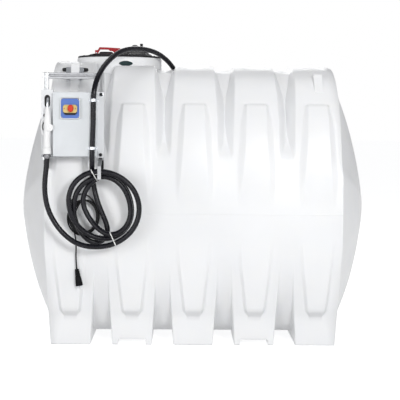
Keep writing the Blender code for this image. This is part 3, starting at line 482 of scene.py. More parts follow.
ORANGE_RED = moulded("orange_red_plastic", (0.62, 0.042, 0.014), 0.36, shine=0.25)
YELLOW = moulded("yellow_plastic", (0.68, 0.52, 0.18), 0.38)
BLUE = moulded("blue_plate", (0.075, 0.16, 0.5), 0.35)
TEAL = moulded("dark_teal_plate", (0.004, 0.024, 0.025), 0.5, shine=0.2)
PLUG_RUBBER = rubber("plug_rubber", (0.002, 0.002, 0.003), 0.5, shine=0.1)
HOSE_RUBBER = rubber("hose_rubber", (0.004, 0.004, 0.007), 0.27, shine=0.22)
LEAD_RUBBER = rubber("lead_rubber", (0.005, 0.005, 0.006), 0.4, shine=0.2)
TIE = moulded("white_tie", (0.85, 0.85, 0.83), 0.35)


# The hose: from the nozzle through four turns of the coil, a fold and the clamps to the tank's fitting

HOSE_RADIUS = 0.0133
HOSE_DOWN_Y = -0.794
NOZZLE_RUN = [
    (-0.747, -0.7738, 0.9867), (-0.7472, -0.7738, 0.966), (-0.7505, -0.7738, 0.935), (-0.755, -0.7739, 0.9),
    (-0.758, -0.774, 0.865), (-0.7585, -0.774, 0.83), (-0.754, -0.774, 0.782), (-0.742, -0.774, 0.73),
    (-0.719, -0.774, 0.68), (-0.681, -0.774, 0.624), (-0.64, -0.774, 0.584), (-0.598, -0.775, 0.557),
    (-0.548, -0.776, 0.542),
]
# The lowest, rightmost, highest and leftmost points of the turns, in the order that the hose takes them
OUTER_TURNS = [
    (-0.493, -0.777, 0.539), (-0.278, -0.785, 0.732), (-0.483, -0.7955, 0.926), (-0.638, -0.786, 0.778),
    (-0.452, -0.747, 0.577), (-0.318, -0.7375, 0.716), (-0.448, -0.7375, 0.901),
]
CHORD = [
    (-0.48, -0.7405, 0.8975), (-0.51, -0.747, 0.879), (-0.534, -0.75, 0.855), (-0.553, -0.748, 0.828),
    (-0.566, -0.745, 0.798), (-0.57, -0.743, 0.768), (-0.559, -0.745, 0.727), (-0.532, -0.749, 0.68),
    (-0.499, -0.757, 0.639), (-0.463, -0.7665, 0.611),
]
INNER_TURNS = [
    (-0.424, -0.7705, 0.5985), (-0.322, -0.766, 0.716), (-0.462, -0.7715, 0.899), (-0.613, -0.765, 0.755),
]
FOLD = [
    (-0.613, -0.755, 0.712), (-0.609, -0.748, 0.68), (-0.6, -0.7405, 0.65), (-0.585, -0.7345, 0.617),
    (-0.564, -0.729, 0.587), (-0.537, -0.7225, 0.562), (-0.506, -0.7175, 0.5505), (-0.4725, -0.715, 0.559),
    (-0.448, -0.7125, 0.5835), (-0.4395, -0.711, 0.617), (-0.4455, -0.7105, 0.6445),
    (-0.4592, -0.7105, 0.6761), (-0.475, -0.7105, 0.712), (-0.493, -0.7095, 0.758),
    (-0.5055, -0.7065, 0.7985), (-0.514, -0.703, 0.834), (-0.5185, -0.7035, 0.86),
]
FEED_RUN = [
    (-0.521, -0.7165, 0.884), (-0.5215, -0.7345, 0.9045), (-0.52, -0.756, 0.9205), (-0.5195, -0.775, 0.944),
    (-0.519, -0.788, 0.97), (-0.518, -0.7935, 1.0), (-0.517, -0.794, 1.04), (-0.515, -0.794, 1.095),
    (-0.513, -0.794, 1.155), (-0.512, -0.794, 1.215), (-0.5115, -0.794, 1.255), (-0.5115, -0.7942, 1.29),
    (-0.5095, -0.7942, 1.325), (-0.503, -0.784, 1.363), (-0.489, -0.75, 1.406), (-0.468, -0.694, 1.452),
    (-0.442, -0.625, 1.49), (-0.412, -0.56, 1.523), (-0.3736, -0.485, 1.5489), (-0.3444, -0.43, 1.5585),
    (-0.3146, -0.375, 1.5635), (-0.2842, -0.322, 1.5657), (-0.2408, -0.245, 1.5613),
    (-0.2006, -0.172, 1.5492), (-0.1587, -0.105, 1.5226), (-0.1293, -0.053, 1.4935),
    (-0.1175, -0.03, 1.4772),
]


def quarters(extremes):
    """Quarter ellipses from one extreme point to the next; the first one leaves its point level."""
    points = []
    level = True
    for p, q in zip(extremes, extremes[1:]):
        points.append(p)
        for k in range(1, 6):
            turn = k / 6 * math.pi / 2
            fast, slow = math.sin(turn), 1 - math.cos(turn)
            shares = (fast, eased(k / 6), slow) if level else (slow, eased(k / 6), fast)
            points.append(tuple(a + (b - a) * share for a, b, share in zip(p, q, shares)))
        level = not level
    points.append(extremes[-1])
    return points


def corded(name, line, radius, mat, sides=16):
    """A tube along the line whose UV map holds the metres along it and the turn round it."""
    obj = swept(name, line, radius, mat, sides)
    mesh = obj.data
    reach = np.concatenate([[0], np.cumsum(np.linalg.norm(np.diff(line, axis=0), axis=1))])
    layer = mesh.uv_layers.new(name="along")
    for face in mesh.polygons:
        rounds = [mesh.loops[i].vertex_index % sides for i in face.loop_indices]
        wraps = max(rounds) - min(rounds) > sides / 2
        for i in face.loop_indices:
            index = mesh.loops[i].vertex_index
            turn = index % sides
            if wraps and turn == 0:
                turn = sides
            layer.data[i].uv = (reach[min(index // sides, len(reach) - 1)], turn / sides)
    return obj


def make_hose():
    route = NOZZLE_RUN + quarters(OUTER_TURNS) + CHORD + quarters(INNER_TURNS) + FOLD + FEED_RUN
    line = smooth_line(route, 0.006, rounds=40)
    hose = corded("hose", line, HOSE_RADIUS, HOSE_RUBBER, 20)
    fit(hose, "hose_feed", "hose_coil", "hose_tail", slot="black_rubber")
    return line


LEAD_RADIUS = 0.004
LEAD_DOWN = [
    (-0.525, -0.7145, 0.9724), (-0.525, -0.7145, 0.966), (-0.5257, -0.7123, 0.958),
    (-0.527, -0.7061, 0.947), (-0.5286, -0.6965, 0.939), (-0.5302, -0.684, 0.933),
    (-0.5316, -0.6744, 0.925), (-0.533, -0.6682, 0.914), (-0.5348, -0.6645, 0.902),
    (-0.5415, -0.661, 0.874), (-0.5515, -0.659, 0.845), (-0.5605, -0.658, 0.815), (-0.5725, -0.6575, 0.785),
    (-0.59, -0.6575, 0.758), (-0.612, -0.6575, 0.733),
]
# The loose loops of the lead: centre x and z, half width and half height, and the place in depth
LEAD_LOOPS = [
    (-0.568, 0.683, 0.077, 0.088, -0.6575),
    (-0.56, 0.686, 0.07, 0.084, -0.6657),
    (-0.576, 0.7, 0.072, 0.105, -0.6739),
    (-0.572, 0.676, 0.08, 0.093, -0.6821),
    (-0.569, 0.688, 0.069, 0.083, -0.6903),
]
LEAD_DROP = [
    (-0.628, -0.6885, 0.64), (-0.6165, -0.686, 0.606), (-0.609, -0.683, 0.57), (-0.6075, -0.679, 0.53),
    (-0.6085, -0.674, 0.49), (-0.608, -0.67, 0.455), (-0.60655, -0.6685, 0.432), (-0.60505, -0.668, 0.4143),
]


def lead_route():
    points = list(LEAD_DOWN)
    count = 20
    total = len(LEAD_LOOPS) * count
    for k in range(3, total - 2):
        place = k / count
        at = min(int(place), len(LEAD_LOOPS) - 1)
        after = min(at + 1, len(LEAD_LOOPS) - 1)
        share = eased(place - at)
        a, b = LEAD_LOOPS[at], LEAD_LOOPS[after]
        x, z, half_x, half_z, y = (p + (q - p) * share for p, q in zip(a, b))
        turn = math.radians(150) + 2 * math.pi * place
        points.append((x + half_x * math.cos(turn), y, z + half_z * math.sin(turn)))
    return points + LEAD_DROP


def make_lead():
    line = smooth_line(lead_route(), 0.004, rounds=12)
    lead = corded("power_cord", line, LEAD_RADIUS, LEAD_RUBBER, 12)
    fit(lead, "power_lead", "lead_coil", "lead_drop", slot="black_rubber")


# The tank: one seamless moulding

RIB_PITCH = 0.322
NECK_X = -0.4205
NECK_RADIUS = 0.2375
RIM_Z = 1.528
TIP_X = 0.962
DISH_BASE = 0.774
DISH_MID_Z = 0.7
DISH_TOP_Z = 1.38
DISH_FOOT_Z = 0.13
DISH_REACH = 0.7
# How soft the dished end's tip is; for its upper and its lower half the least power, the gain and its power
DISH_SOFT = 0.03
UPPER_BEND = (1.45, 0.3, 2.4)
LOWER_BEND = (1.4, 0.3, 1.6)
SEAM_Z = 0.7
SEAM_HALF = 0.0019
SEAM_DEPTH = 0.0011
# Rows down half of the section: rib y, z; groove floor y, z; half rib width; half floor width;
# half width of the raised band, its chamfer and its height
TANK_ROWS = np.array(
    (
        (0.000, 1.487, 0.000, 1.455, 0.104, 0.050, 0.050, 0.010, 0.000),
        (0.150, 1.477, 0.140, 1.447, 0.105, 0.049, 0.050, 0.010, 0.000),
        (0.295, 1.451, 0.262, 1.412, 0.107, 0.038, 0.050, 0.010, 0.000),
        (0.380, 1.415, 0.325, 1.362, 0.109, 0.022, 0.050, 0.010, 0.000),
        (0.455, 1.362, 0.385, 1.300, 0.111, 0.008, 0.050, 0.010, 0.000),
        (0.510, 1.300, 0.437, 1.235, 0.114, 0.003, 0.050, 0.010, 0.000),
        (0.532, 1.268, 0.460, 1.205, 0.115, 0.003, 0.051, 0.012, 0.000),
        (0.535, 1.262, 0.464, 1.198, 0.115, 0.003, 0.051, 0.014, 0.017),
        (0.570, 1.190, 0.508, 1.135, 0.118, 0.005, 0.054, 0.024, 0.026),
        (0.598, 1.105, 0.553, 1.060, 0.120, 0.012, 0.057, 0.030, 0.028),
        (0.618, 1.015, 0.595, 0.985, 0.122, 0.025, 0.062, 0.030, 0.026),
        (0.632, 0.935, 0.632, 0.935, 0.124, 0.034, 0.068, 0.028, 0.020),
        (0.643, 0.840, 0.643, 0.840, 0.124, 0.034, 0.076, 0.020, 0.010),
        (0.650, 0.730, 0.650, 0.730, 0.124, 0.034, 0.080, 0.012, 0.000),
        (0.650, 0.620, 0.650, 0.620, 0.124, 0.034, 0.080, 0.012, 0.000),
        (0.643, 0.460, 0.643, 0.460, 0.123, 0.034, 0.072, 0.014, 0.008),
        (0.617, 0.290, 0.600, 0.285, 0.119, 0.036, 0.054, 0.015, 0.023),
        (0.598, 0.195, 0.556, 0.200, 0.115, 0.040, 0.043, 0.014, 0.027),
        (0.589, 0.152, 0.520, 0.150, 0.112, 0.042, 0.030, 0.006, 0.000),
        (0.581, 0.033, 0.455, 0.078, 0.106, 0.048, 0.050, 0.010, 0.000),
        (0.5786, 0.000, 0.405, 0.054, 0.104, 0.050, 0.050, 0.010, 0.000),
        (0.300, 0.000, 0.280, 0.043, 0.104, 0.050, 0.050, 0.010, 0.000),
        (0.000, 0.000, 0.000, 0.042, 0.104, 0.050, 0.050, 0.010, 0.000),
    )
)
FOOT_EDGE = 20
# How many steps each span between two rows is cut into
ROW_STEPS = (5, 5, 5, 5, 5, 3, 3, 5, 5, 5, 6, 5, 5, 8, 5, 7, 5, 4, 5, 3, 5, 4)
RAISED = {
    0: ((0, 1, 2, 3, 4, 5, 6), (0.024, 0.024, 0.024, 0.018, 0.01, 0.002, 0.0)),
    1: ((0, 1, 2, 3, 4, 5, 6), (-0.012, -0.003, 0.021, 0.016, 0.008, 0.002, 0.0)),
}
# Between two ribs the groove's floor lies higher on top, with a crease where it turns down
GROOVE_FLOOR = {0: (0.0, 1.463), 1: (0.14, 1.457), 2: (0.228, 1.44), 9: (0.556, 1.066), 10: (0.6145, 1.008)}
FLOOR_CREASE = 2
# The half width of the groove's floor in rows 9 and 10
SHOULDER_FLATS = (0.014, 0.029)
NOTCHED = (1, 3)
NOTCH_Z = 0.031
NOTCH_HALF = 0.07
NOTCH_EDGE = 0.005
# The row above the moulding's seam, and how far the surface falls to the next one
SEAM_ROW = 13
SEAM_ROW_FALL = 0.11
# Steps in each rounded corner of a rib, and the cuts of the raised band's two corners
CORNER_STEPS = 5
BAND_CUTS = (0.006, 0.007)


def monotone(values, at):
    """Smooth values between whole-numbered rows, with no overshoot."""
    v = np.asarray(values, float)
    step = np.diff(v)
    slope = np.zeros(len(v))
    both = step[:-1] * step[1:] > 0
    slope[1:-1][both] = 2 * step[:-1][both] * step[1:][both] / (step[:-1] + step[1:])[both]
    slope[0], slope[-1] = step[0], step[-1]
    i = np.clip(at.astype(int), 0, len(v) - 2)
    t = at - i
    return (
        v[i] * (1 + 2 * t) * (1 - t) ** 2
        + slope[i] * t * (1 - t) ** 2
        + v[i + 1] * t**2 * (3 - 2 * t)
        + slope[i + 1] * t**2 * (t - 1)
    )


def section_curve(points, at):
    """A smooth curve through the rows' points, by chord length."""
    p = np.asarray(points, float)
    chord = np.maximum(np.linalg.norm(np.diff(p, axis=0), axis=1), 1e-9)
    lean = np.diff(p, axis=0) / chord[:, None]
    slope = np.zeros_like(p)
    weighed = lean[:-1] * chord[1:, None] + lean[1:] * chord[:-1, None]
    slope[1:-1] = weighed / (chord[:-1] + chord[1:])[:, None]
    slope[0], slope[-1] = lean[0], lean[-1]
    i = np.clip(at.astype(int), 0, len(p) - 2)
    t = (at - i)[:, None]
    h = chord[i][:, None]
    return (
        p[i] * (1 + 2 * t) * (1 - t) ** 2
        + slope[i] * h * t * (1 - t) ** 2
        + p[i + 1] * t**2 * (3 - 2 * t)
        + slope[i + 1] * h * t**2 * (t - 1)
    )


def row_places():
    places = []
    for i, count in enumerate(ROW_STEPS):
        places += [i + k / count for k in range(count)]
    places.append(len(ROW_STEPS))
    # Close rows round the foot's corner and on both sides of the moulding's seam
    places = [p for p in places if not 19.4 < p < 20.06]
    places += [19.4, 19.6, 19.76, 19.82, 19.88, 19.94, 20.0, 20.009, 20.018, 20.027, 20.036, 20.06]
    places += [1.96, 1.985, 2.015, 2.04]
    seam = SEAM_ROW + (TANK_ROWS[SEAM_ROW, 1] - SEAM_Z) / SEAM_ROW_FALL
    shifts = (-0.0036, -0.0018, -0.0009, 0.0, 0.0009, 0.0018, 0.0036)
    places += [seam + shift / SEAM_ROW_FALL for shift in shifts]
    return np.unique(np.round(places, 5))


def channels(rib):
    """Every row's values for a rib, finely spaced."""
    at = row_places()
    rows = TANK_ROWS.copy()
    for i, place in GROOVE_FLOOR.items():
        rows[i, 2:4] = place
    rows[9:11, 5] = SHOULDER_FLATS
    if rib in RAISED:
        for i, rise in zip(*RAISED[rib]):
            rows[i, 1] += rise
    upper, lower = at <= FOOT_EDGE, at > FOOT_EDGE
    surface = np.zeros((len(at), 2))
    surface[upper] = section_curve(rows[: FOOT_EDGE + 1, 0:2], at[upper])
    surface[lower] = section_curve(rows[FOOT_EDGE:, 0:2], at[lower] - FOOT_EDGE)
    # The foot's front corner is rounded
    corner = rows[FOOT_EDGE, 0:2]
    near = (at > 19.75) & (at < 20.037)
    turn = np.linspace(0, 1, near.sum())
    first = np.array([corner[0] + 0.0006, corner[1] + 0.0085])
    last = np.array([corner[0] - 0.01, 0.0])
    surface[near] = (
        np.outer((1 - turn) ** 2, first) + np.outer(2 * turn * (1 - turn), corner) + np.outer(turn**2, last)
    )
    floor = np.zeros((len(at), 2))
    over, under = at <= FLOOR_CREASE, at > FLOOR_CREASE
    floor[over] = section_curve(rows[: FLOOR_CREASE + 1, 2:4], at[over])
    floor[under] = section_curve(rows[FLOOR_CREASE:, 2:4], at[under] - FLOOR_CREASE)
    same = (at >= 11) & (at <= 15)
    floor[same] = surface[same]
    out = {"at": at, "rib": surface, "floor": floor}
    for key, column in (("width", 4), ("flat", 5), ("band", 6), ("chamfer", 7)):
        out[key] = monotone(rows[:, column], at)
    rise = np.interp(at, np.arange(len(rows)), rows[:, 8])
    soft = monotone(rows[:, 8], at)
    out["rise"] = np.where((at > 8) & (at < 17), soft, rise)
    along = np.gradient(surface, axis=0)
    along /= np.maximum(np.linalg.norm(along, axis=1), 1e-9)[:, None]
    out["out"] = np.stack([-along[:, 1], along[:, 0]], axis=1)
    return out


def filleted(corners, cuts):
    """A polyline with its inner corners rounded. Every row gives the same number of points."""
    points = [corners[0]]
    for a, b, c, wish in zip(corners, corners[1:], corners[2:], cuts):
        back, on = a - b, c - b
        reach_a = np.maximum(np.linalg.norm(back, axis=-1, keepdims=True), 1e-9)
        reach_c = np.maximum(np.linalg.norm(on, axis=-1, keepdims=True), 1e-9)
        cut = np.minimum(wish, np.minimum(0.48 * reach_a, 0.48 * reach_c))
        start, end = b + back / reach_a * cut, b + on / reach_c * cut
        for t in np.arange(CORNER_STEPS) / (CORNER_STEPS - 1):
            points.append((1 - t) ** 2 * start + 2 * t * (1 - t) * b + t**2 * end)
    points.append(corners[-1])
    return points


def rib_columns(rib, sign, outer_end):
    """The columns from the middle of a rib to the middle of the groove, or to its dished end."""
    c = channels(rib)
    depth = np.linalg.norm(c["rib"] - c["floor"], axis=1)
    zero = np.zeros(len(c["at"]))
    width, rise = c["width"], c["rise"]
    foot = np.minimum(c["band"] + c["chamfer"], width - 0.006)
    band = np.minimum(c["band"], foot - 0.003)

    def corner(u, w):
        return np.stack([u + zero, w + zero], axis=1)

    middle = (rib - 2) * RIB_PITCH
    band_end = 1 + 2 * CORNER_STEPS
    if outer_end:
        corners = [corner(zero, rise), corner(band, rise), corner(foot, zero), corner(width, zero)]
        flat = filleted([*corners, corner(width + 0.05, zero)], (*BAND_CUTS, 0.0))
        flat = flat[:band_end] + [corner(width, zero)]
        columns = [place_column(c, middle, sign, p, depth) for p in flat]
        return columns, c
    half = RIB_PITCH / 2
    corners = [
        corner(zero, rise), corner(band, rise), corner(foot, zero), corner(width, zero),
        corner(half - c["flat"], -depth), corner(half + zero, -depth),
    ]
    flat = filleted(corners, (*BAND_CUTS, 0.008, 0.005))
    if rib in NOTCHED:
        edges = [
            np.maximum(NOTCH_HALF + 0.0002 + 0.0025 * k, foot + 0.0085 + 0.001 * k) for k in range(3)
        ]
        flat[band_end:band_end] = [corner(u, zero) for u in edges]
    columns = [place_column(c, middle, sign, p, depth) for p in flat]
    if rib in NOTCHED:
        notch(columns, middle)
    return columns, c


def place_column(c, middle, sign, p, depth):
    u, w = p[:, 0], p[:, 1]
    down = np.where(w < 0, -w / np.maximum(depth, 1e-9), 0.0)[:, None]
    up = np.where(w > 0, w, 0.0)[:, None]
    yz = c["rib"] + (c["floor"] - c["rib"]) * down + c["out"] * up
    return np.stack([middle + sign * u, -yz[:, 0], yz[:, 1]], axis=1)


def notch(columns, middle):
    """The step under the foot of a notched rib."""
    for column in columns:
        low = column[:, 2] < NOTCH_Z
        away = np.abs(column[:, 0] - middle) - NOTCH_HALF
        lift = eased(np.clip(1 - away / NOTCH_EDGE, 0, 1))
        column[:, 2] = np.where(low, np.maximum(column[:, 2], NOTCH_Z * lift), column[:, 2])


def dish_depth(share, height):
    """How far a point of the dished end lies behind the tip, by its share of the section."""
    whole = math.sqrt(1 + DISH_SOFT**2) - DISH_SOFT
    out = (np.sqrt(share**2 + DISH_SOFT**2) - DISH_SOFT) / whole
    upper, lower = (least + gain * out**power for least, gain, power in (UPPER_BEND, LOWER_BEND))
    weight = eased(np.clip(0.5 + height * 1.6, 0, 1))
    return (TIP_X - DISH_BASE) * out ** (lower + (upper - lower) * weight)


def dish_columns(sign, rim, c):
    """The columns from an end rib's outer edge over the dished end to its tip."""
    floor = section_curve(TANK_ROWS[:, 2:4], c["at"])
    y, z = floor[:, 0], floor[:, 1]
    top, bottom = TANK_ROWS[0, 3], TANK_ROWS[-1, 3]
    upper = (z - DISH_MID_Z) * (DISH_TOP_Z - DISH_MID_Z) / (top - DISH_MID_Z)
    lower = (z - DISH_MID_Z) * (DISH_FOOT_Z - DISH_MID_Z) / (bottom - DISH_MID_Z)
    rise = np.where(z > DISH_MID_Z, upper, lower)
    base = np.stack([np.full(len(y), sign * DISH_BASE), -y, DISH_MID_Z + rise], axis=1)
    height = rise / DISH_REACH
    columns = []
    shares = 1 - np.linspace(0, 1, 40) ** 0.9
    dish = []
    for share in shares[:-1]:
        x = TIP_X - dish_depth(np.full(len(y), share), height)
        dish.append(np.stack([sign * x, -y * share, DISH_MID_Z + rise * share], axis=1))
    # The flank of the end rib runs down to the dish and meets it in a soft corner
    for k in range(1, 7):
        t = k / 7
        ease = eased(t) * 0.35 + t * 0.65
        columns.append(rim + (base - rim) * np.array([t, ease, ease]))
    blend = [base * 0.5 + (columns[-1] + dish[1]) * 0.25]
    return columns + blend + dish[1:]


def make_tank():
    halves = []
    for rib in range(5):
        left, c = rib_columns(rib, -1, rib == 0)
        right, c = rib_columns(rib, 1, rib == 4)
        if rib == 0:
            halves += dish_columns(-1, left[-1], c)[::-1]
        halves += (left[::-1] if rib == 0 else left[-2::-1]) + right[1:]
        if rib == 4:
            halves += dish_columns(1, right[-1], c)
    grid = np.array(halves)
    middle = grid[len(grid) // 2, :, 2]
    seam = np.interp(middle, [SEAM_Z - SEAM_HALF, SEAM_Z, SEAM_Z + SEAM_HALF], [0, 1, 0])
    grid[:, :, 1] -= seam[None, :] * SEAM_DEPTH * np.clip(np.abs(grid[:, :, 1]) / 0.3, 0, 1)
    columns = len(grid)
    back = grid[:, 1:-1][:, ::-1] * np.array([1, -1, 1])
    loops = np.concatenate([grid, back], axis=1)
    size = loops.shape[1]
    verts = loops.reshape(-1, 3)
    faces = []
    for a in range(columns - 1):
        for b in range(size):
            n = (b + 1) % size
            faces.append((a * size + b, a * size + n, (a + 1) * size + n, (a + 1) * size + b))
    verts = np.concatenate([verts, [[sign * TIP_X, 0.0, DISH_MID_Z] for sign in (-1, 1)]])
    for b in range(size):
        n = (b + 1) % size
        faces.append((len(verts) - 2, n, b))
        last = (columns - 1) * size
        faces.append((len(verts) - 1, last + b, last + n))
    mesh = bpy.data.meshes.new("tank_shell")
    mesh.from_pydata([tuple(v) for v in verts], [], faces)
    bm = bmesh.new()
    bm.from_mesh(mesh)
    bmesh.ops.remove_doubles(bm, verts=bm.verts, dist=0.00002)
    bmesh.ops.recalc_face_normals(bm, faces=bm.faces)
    bm.to_mesh(mesh)
    bm.free()
    mesh.shade_smooth()
    mesh.materials.append(PE)
    tank = add_object("tank_shell", mesh)
    fit(tank, *[f"barrel_bay_{k}" for k in range(1, 6)], "left_end", "right_end", slot="tank_plastic")


make_tank()


# Manhole

BADGE_X, BADGE_Z = -0.375, 1.491
FILLER_X, FILLER_Y = -0.4935, -0.06
VENT_X, VENT_Y = -0.336, 0.05


def make_manhole():
    wall = (
        (-0.01, -0.03), (-0.01, -0.003), (-0.008, -0.0005), (-0.005, 0.0), (-0.0025, -0.001),
        (-0.0005, -0.004), (0.0, -0.009), (0.0, -0.05), (0.0005, -0.09), (0.0, -0.128), (-0.01, -0.128),
        (-0.01, -0.03),
    )
    profile = [(NECK_RADIUS + r, h) for r, h in wall]
    neck = lathe("manhole_collar", profile, (NECK_X, 0, RIM_Z), PE, steps=144)
    fit(neck, "manhole_neck", slot="tank_plastic")
    lid_z = RIM_Z + 0.0003

    def grips(a, h):
        return 1 + 0.0035 * max(0.0, math.cos(48 * a)) if 0.0008 < h < 0.007 else 1.0

    fit(lathe(
        "lid_cover",
        [
            (0.0, 0.0168), (0.12, 0.0168), (0.15, 0.0172), (0.176, 0.0172), (0.179, 0.0165),
            (0.1815, 0.0135), (0.185, 0.0112), (0.19, 0.0105), (0.222, 0.0102), (0.23, 0.0096),
            (0.2328, 0.008), (0.2335, 0.0045), (0.2335, 0.001), (0.2325, 0.0001), (0.0, 0.0001),
        ],
        (NECK_X, 0, lid_z), BLACK, steps=192, wave=grips,
    ), "manhole_lid", slot="black_plastic")
    for k in range(12):
        a = 2 * math.pi * (k + 0.5) / 12
        fit(lathe(
            f"lid_screw_{k + 1}",
            [(0.0, 0.0048), (0.003, 0.0048), (0.004, 0.0038), (0.0044, 0.0), (0.0, 0.0)],
            (NECK_X + 0.204 * math.cos(a), 0.204 * math.sin(a), lid_z + 0.01), BLACK, steps=6,
        ))
    top = lid_z + 0.0175
    fit(lathe(
        "filler_screw_cap",
        [
            (0.0, 0.016), (0.03, 0.016), (0.0345, 0.0152), (0.037, 0.0128), (0.038, 0.01), (0.0384, 0.001),
            (0.038, -0.0008), (0.0, -0.0008),
        ],
        (FILLER_X, FILLER_Y, top), BLACK, steps=120,
        wave=lambda a, h: 1 + (0.012 * math.cos(30 * a) if h < 0.012 else 0.0),
    ), "filler_cap")
    fit(lathe(
        "filler_seat",
        [
            (0.0, 0.0055), (0.067, 0.0055), (0.075, 0.0045), (0.09, 0.001), (0.091, -0.001), (0.0, -0.001),
        ],
        (FILLER_X, FILLER_Y, top), BLACK, steps=64,
    ))
    rounded(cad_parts["filler_handle"], 0.0028)
    pin = lathe(
        "handle_pin", [(0.0, 0.0012), (0.0034, 0.0012), (0.004, 0.0004), (0.004, 0.0), (0.0, 0.0)],
        (-0.5476, -0.0712, 1.557), ZINC, direction=FORWARD, steps=20,
    )
    fit(pin)
    fit(lathe(
        "vent_cover",
        [
            (0.0, 0.0626), (0.0095, 0.0626), (0.0125, 0.0618), (0.017, 0.059), (0.03, 0.0535),
            (0.042, 0.05), (0.056, 0.044), (0.07, 0.0335), (0.079, 0.0235), (0.0835, 0.016),
            (0.089, 0.0105), (0.096, 0.0075), (0.0978, 0.005), (0.098, -0.0004), (0.0, -0.0004),
        ],
        (VENT_X, VENT_Y, top), GREY, steps=96,
        wave=lambda a, h: 1 + (0.01 * max(0.0, math.cos(8 * a)) ** 2 if 0.014 < h < 0.043 else 0.0),
    ), "vent_dome")
    fit(lathe(
        "vent_knob",
        [
            (0.0, 0.014), (0.0062, 0.014), (0.0078, 0.013), (0.0084, 0.011), (0.0084, 0.005),
            (0.0072, 0.0035), (0.0072, -0.006), (0.0, -0.006),
        ],
        (-0.2985, 0.035, 1.6008), BLACK, steps=32,
    ))
    for k in range(6):
        a = 2 * math.pi * (k + 0.25) / 6
        fit(lathe(
            f"vent_screw_{k + 1}",
            [(0.0, 0.0035), (0.0028, 0.0033), (0.004, 0.0018), (0.0042, 0.0), (0.0, 0.0)],
            (VENT_X + 0.09 * math.cos(a), VENT_Y + 0.09 * math.sin(a), top + 0.0085), ZINC, steps=16,
        ))
    # The bare badge on the collar follows the collar's curve
    outline = [
        (0.0378 * math.cos(a), 0.014 * math.copysign(abs(math.sin(a)) ** 1.3, math.sin(a)))
        for a in circle(64)
    ]
    levels = (
        (1.0, 0.0002), (1.0, 0.0026), (0.965, 0.0034), (0.93, 0.0034), (0.9, 0.0028), (0.65, 0.0028),
        (0.35, 0.0028), (0.0, 0.0028),
    )
    rings = []
    for reach, out in levels:
        ring = []
        for x, z in outline if reach else [(0, 0)]:
            x, z = x * reach, z * reach
            y = -math.sqrt((NECK_RADIUS + out) ** 2 - (BADGE_X + x - NECK_X) ** 2)
            ring.append((BADGE_X + x, y, BADGE_Z + z))
        rings.append(ring)
    badge = skin("neck_badge", rings, TEAL, angle=30.0)
    fit(badge, "neck_plate", slot="dark_teal_plastic")


make_manhole()


# Frame of slotted profile


def slotted_section():
    """The outline of a slotted profile, with a slot in each of its four sides."""
    half, open_half, wide_half = 0.0155, 0.00425, 0.0075
    deep, lip = 0.0075, 0.0022
    left = [
        (-half + 0.0015, -half), (-open_half - 0.0012, -half), (-open_half, -half + 0.001),
        (-open_half, -half + lip), (-wide_half, -half + lip), (-wide_half, -half + lip + 0.0015),
        (-open_half * 0.7, -half + deep),
    ]
    side = left + [(-x, y) for x, y in reversed(left)] + [(half - 0.0004, -half + 0.0004)]
    loop = []
    for c, s in ((1, 0), (0, 1), (-1, 0), (0, -1)):
        loop += [(x * c - y * s, x * s + y * c) for x, y in side]
    return loop


def profile_bar(name, node, axis, finish):
    low, high, mid = node_box(node)
    upright = axis == 2
    ends = [
        [
            (mid.x + a, mid.y + b, place) if upright else (place, mid.y + a, mid.z + b)
            for a, b in slotted_section()
        ]
        for place in (low[axis], high[axis])
    ]
    fit(skin(name, ends, finish, angle=None), node, slot="aluminium_profile")


def screw_head(name, place, radius, height):
    """A screw that faces the front, with a socket in its head."""
    profile = [
        (0.0, height * 0.45), (radius * 0.45, height * 0.45), (radius * 0.5, height),
        (radius * 0.8, height), (radius, height * 0.72), (radius, 0.0), (0.0, 0.0),
    ]
    fit(lathe(name, profile, place, ZINC, FORWARD, 24))


def hex_nut(name, place, radius, height):
    """A nut that faces the front."""
    profile = [
        (0.0, height), (radius * 0.55, height), (radius * 0.86, height), (radius, height * 0.84),
        (radius, height * 0.16), (radius * 0.9, 0.0), (0.0, 0.0),
    ]
    fit(lathe(name, profile, place, ZINC, FORWARD, 6))


def washer(name, place, direction, radius, height):
    profile = [(0.0, height), (radius * 0.94, height), (radius, height * 0.7), (radius, 0.0), (0.0, 0.0)]
    fit(lathe(name, profile, place, ZINC, direction, 32))


POSTS = (("left", -0.7625), ("right", -0.4805))


def post_cover(name, x, low, high):
    """A thin black cover on an end of a post."""
    fit(block(name, (x - 0.0152, -0.6997, low), (x + 0.0152, -0.6693, high), BLACK, 0.0008))


def make_frame():
    # The left post takes the aluminium with painted light, and the right post the one with painted shade.
    profile_bar("slotted_post_left", "left_post", 2, PAINTED_LIGHT_ALUMINIUM)
    profile_bar("slotted_post_right", "right_post", 2, PAINTED_SHADE_ALUMINIUM)
    profile_bar("slotted_rail", "top_rail", 0, ALUMINIUM)
    for side, x in POSTS:
        post_cover(f"{side}_post_cap", x, 1.4205, 1.4222)
    post_cover("right_post_foot", POSTS[1][1], 0.9742, 0.9762)
    rounded(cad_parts["mounting_plate"], 0.0008, 2)
    for name in ("upper", "lower"):
        _, high, mid = node_box(f"{name}_knob")
        fit(lathe(
            f"{name}_grip_knob",
            [
                (0.0, 0.014), (0.005, 0.014), (0.0072, 0.013), (0.0082, 0.011), (0.0085, 0.006),
                (0.0078, 0.003), (0.0058, 0.002), (0.0055, 0.0), (0.0, 0.0),
            ],
            (mid.x, high.y, mid.z), BLACK, direction=FORWARD, steps=60,
            wave=lambda a, h: 1 + (0.045 * math.cos(10 * a) if 0.004 < h < 0.0125 else 0.0),
        ), f"{name}_knob")
    washer("upper_knob_washer", (-0.478, -0.7034, 1.311), FORWARD, 0.0105, 0.0008)
    rounded(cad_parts["hose_hook"], 0.0007, 2)
    fit(block("hook_cover", (-0.4935, -0.7079, 0.9895), (-0.4675, -0.7067, 1.0215), WHITE, 0.0004, 2))
    # A black block under the plate's lower edge: painted shadow on the top of the hook's strap.
    fit(block("hook_painted_shadow", (-0.4888, -0.713, 0.9745), (-0.4717, -0.7068, 0.9893), BLACK, 0.0008, 2))
    screw_head("plate_screw_1", (-0.7625, -0.7034, 1.3165), 0.0042, 0.00378)


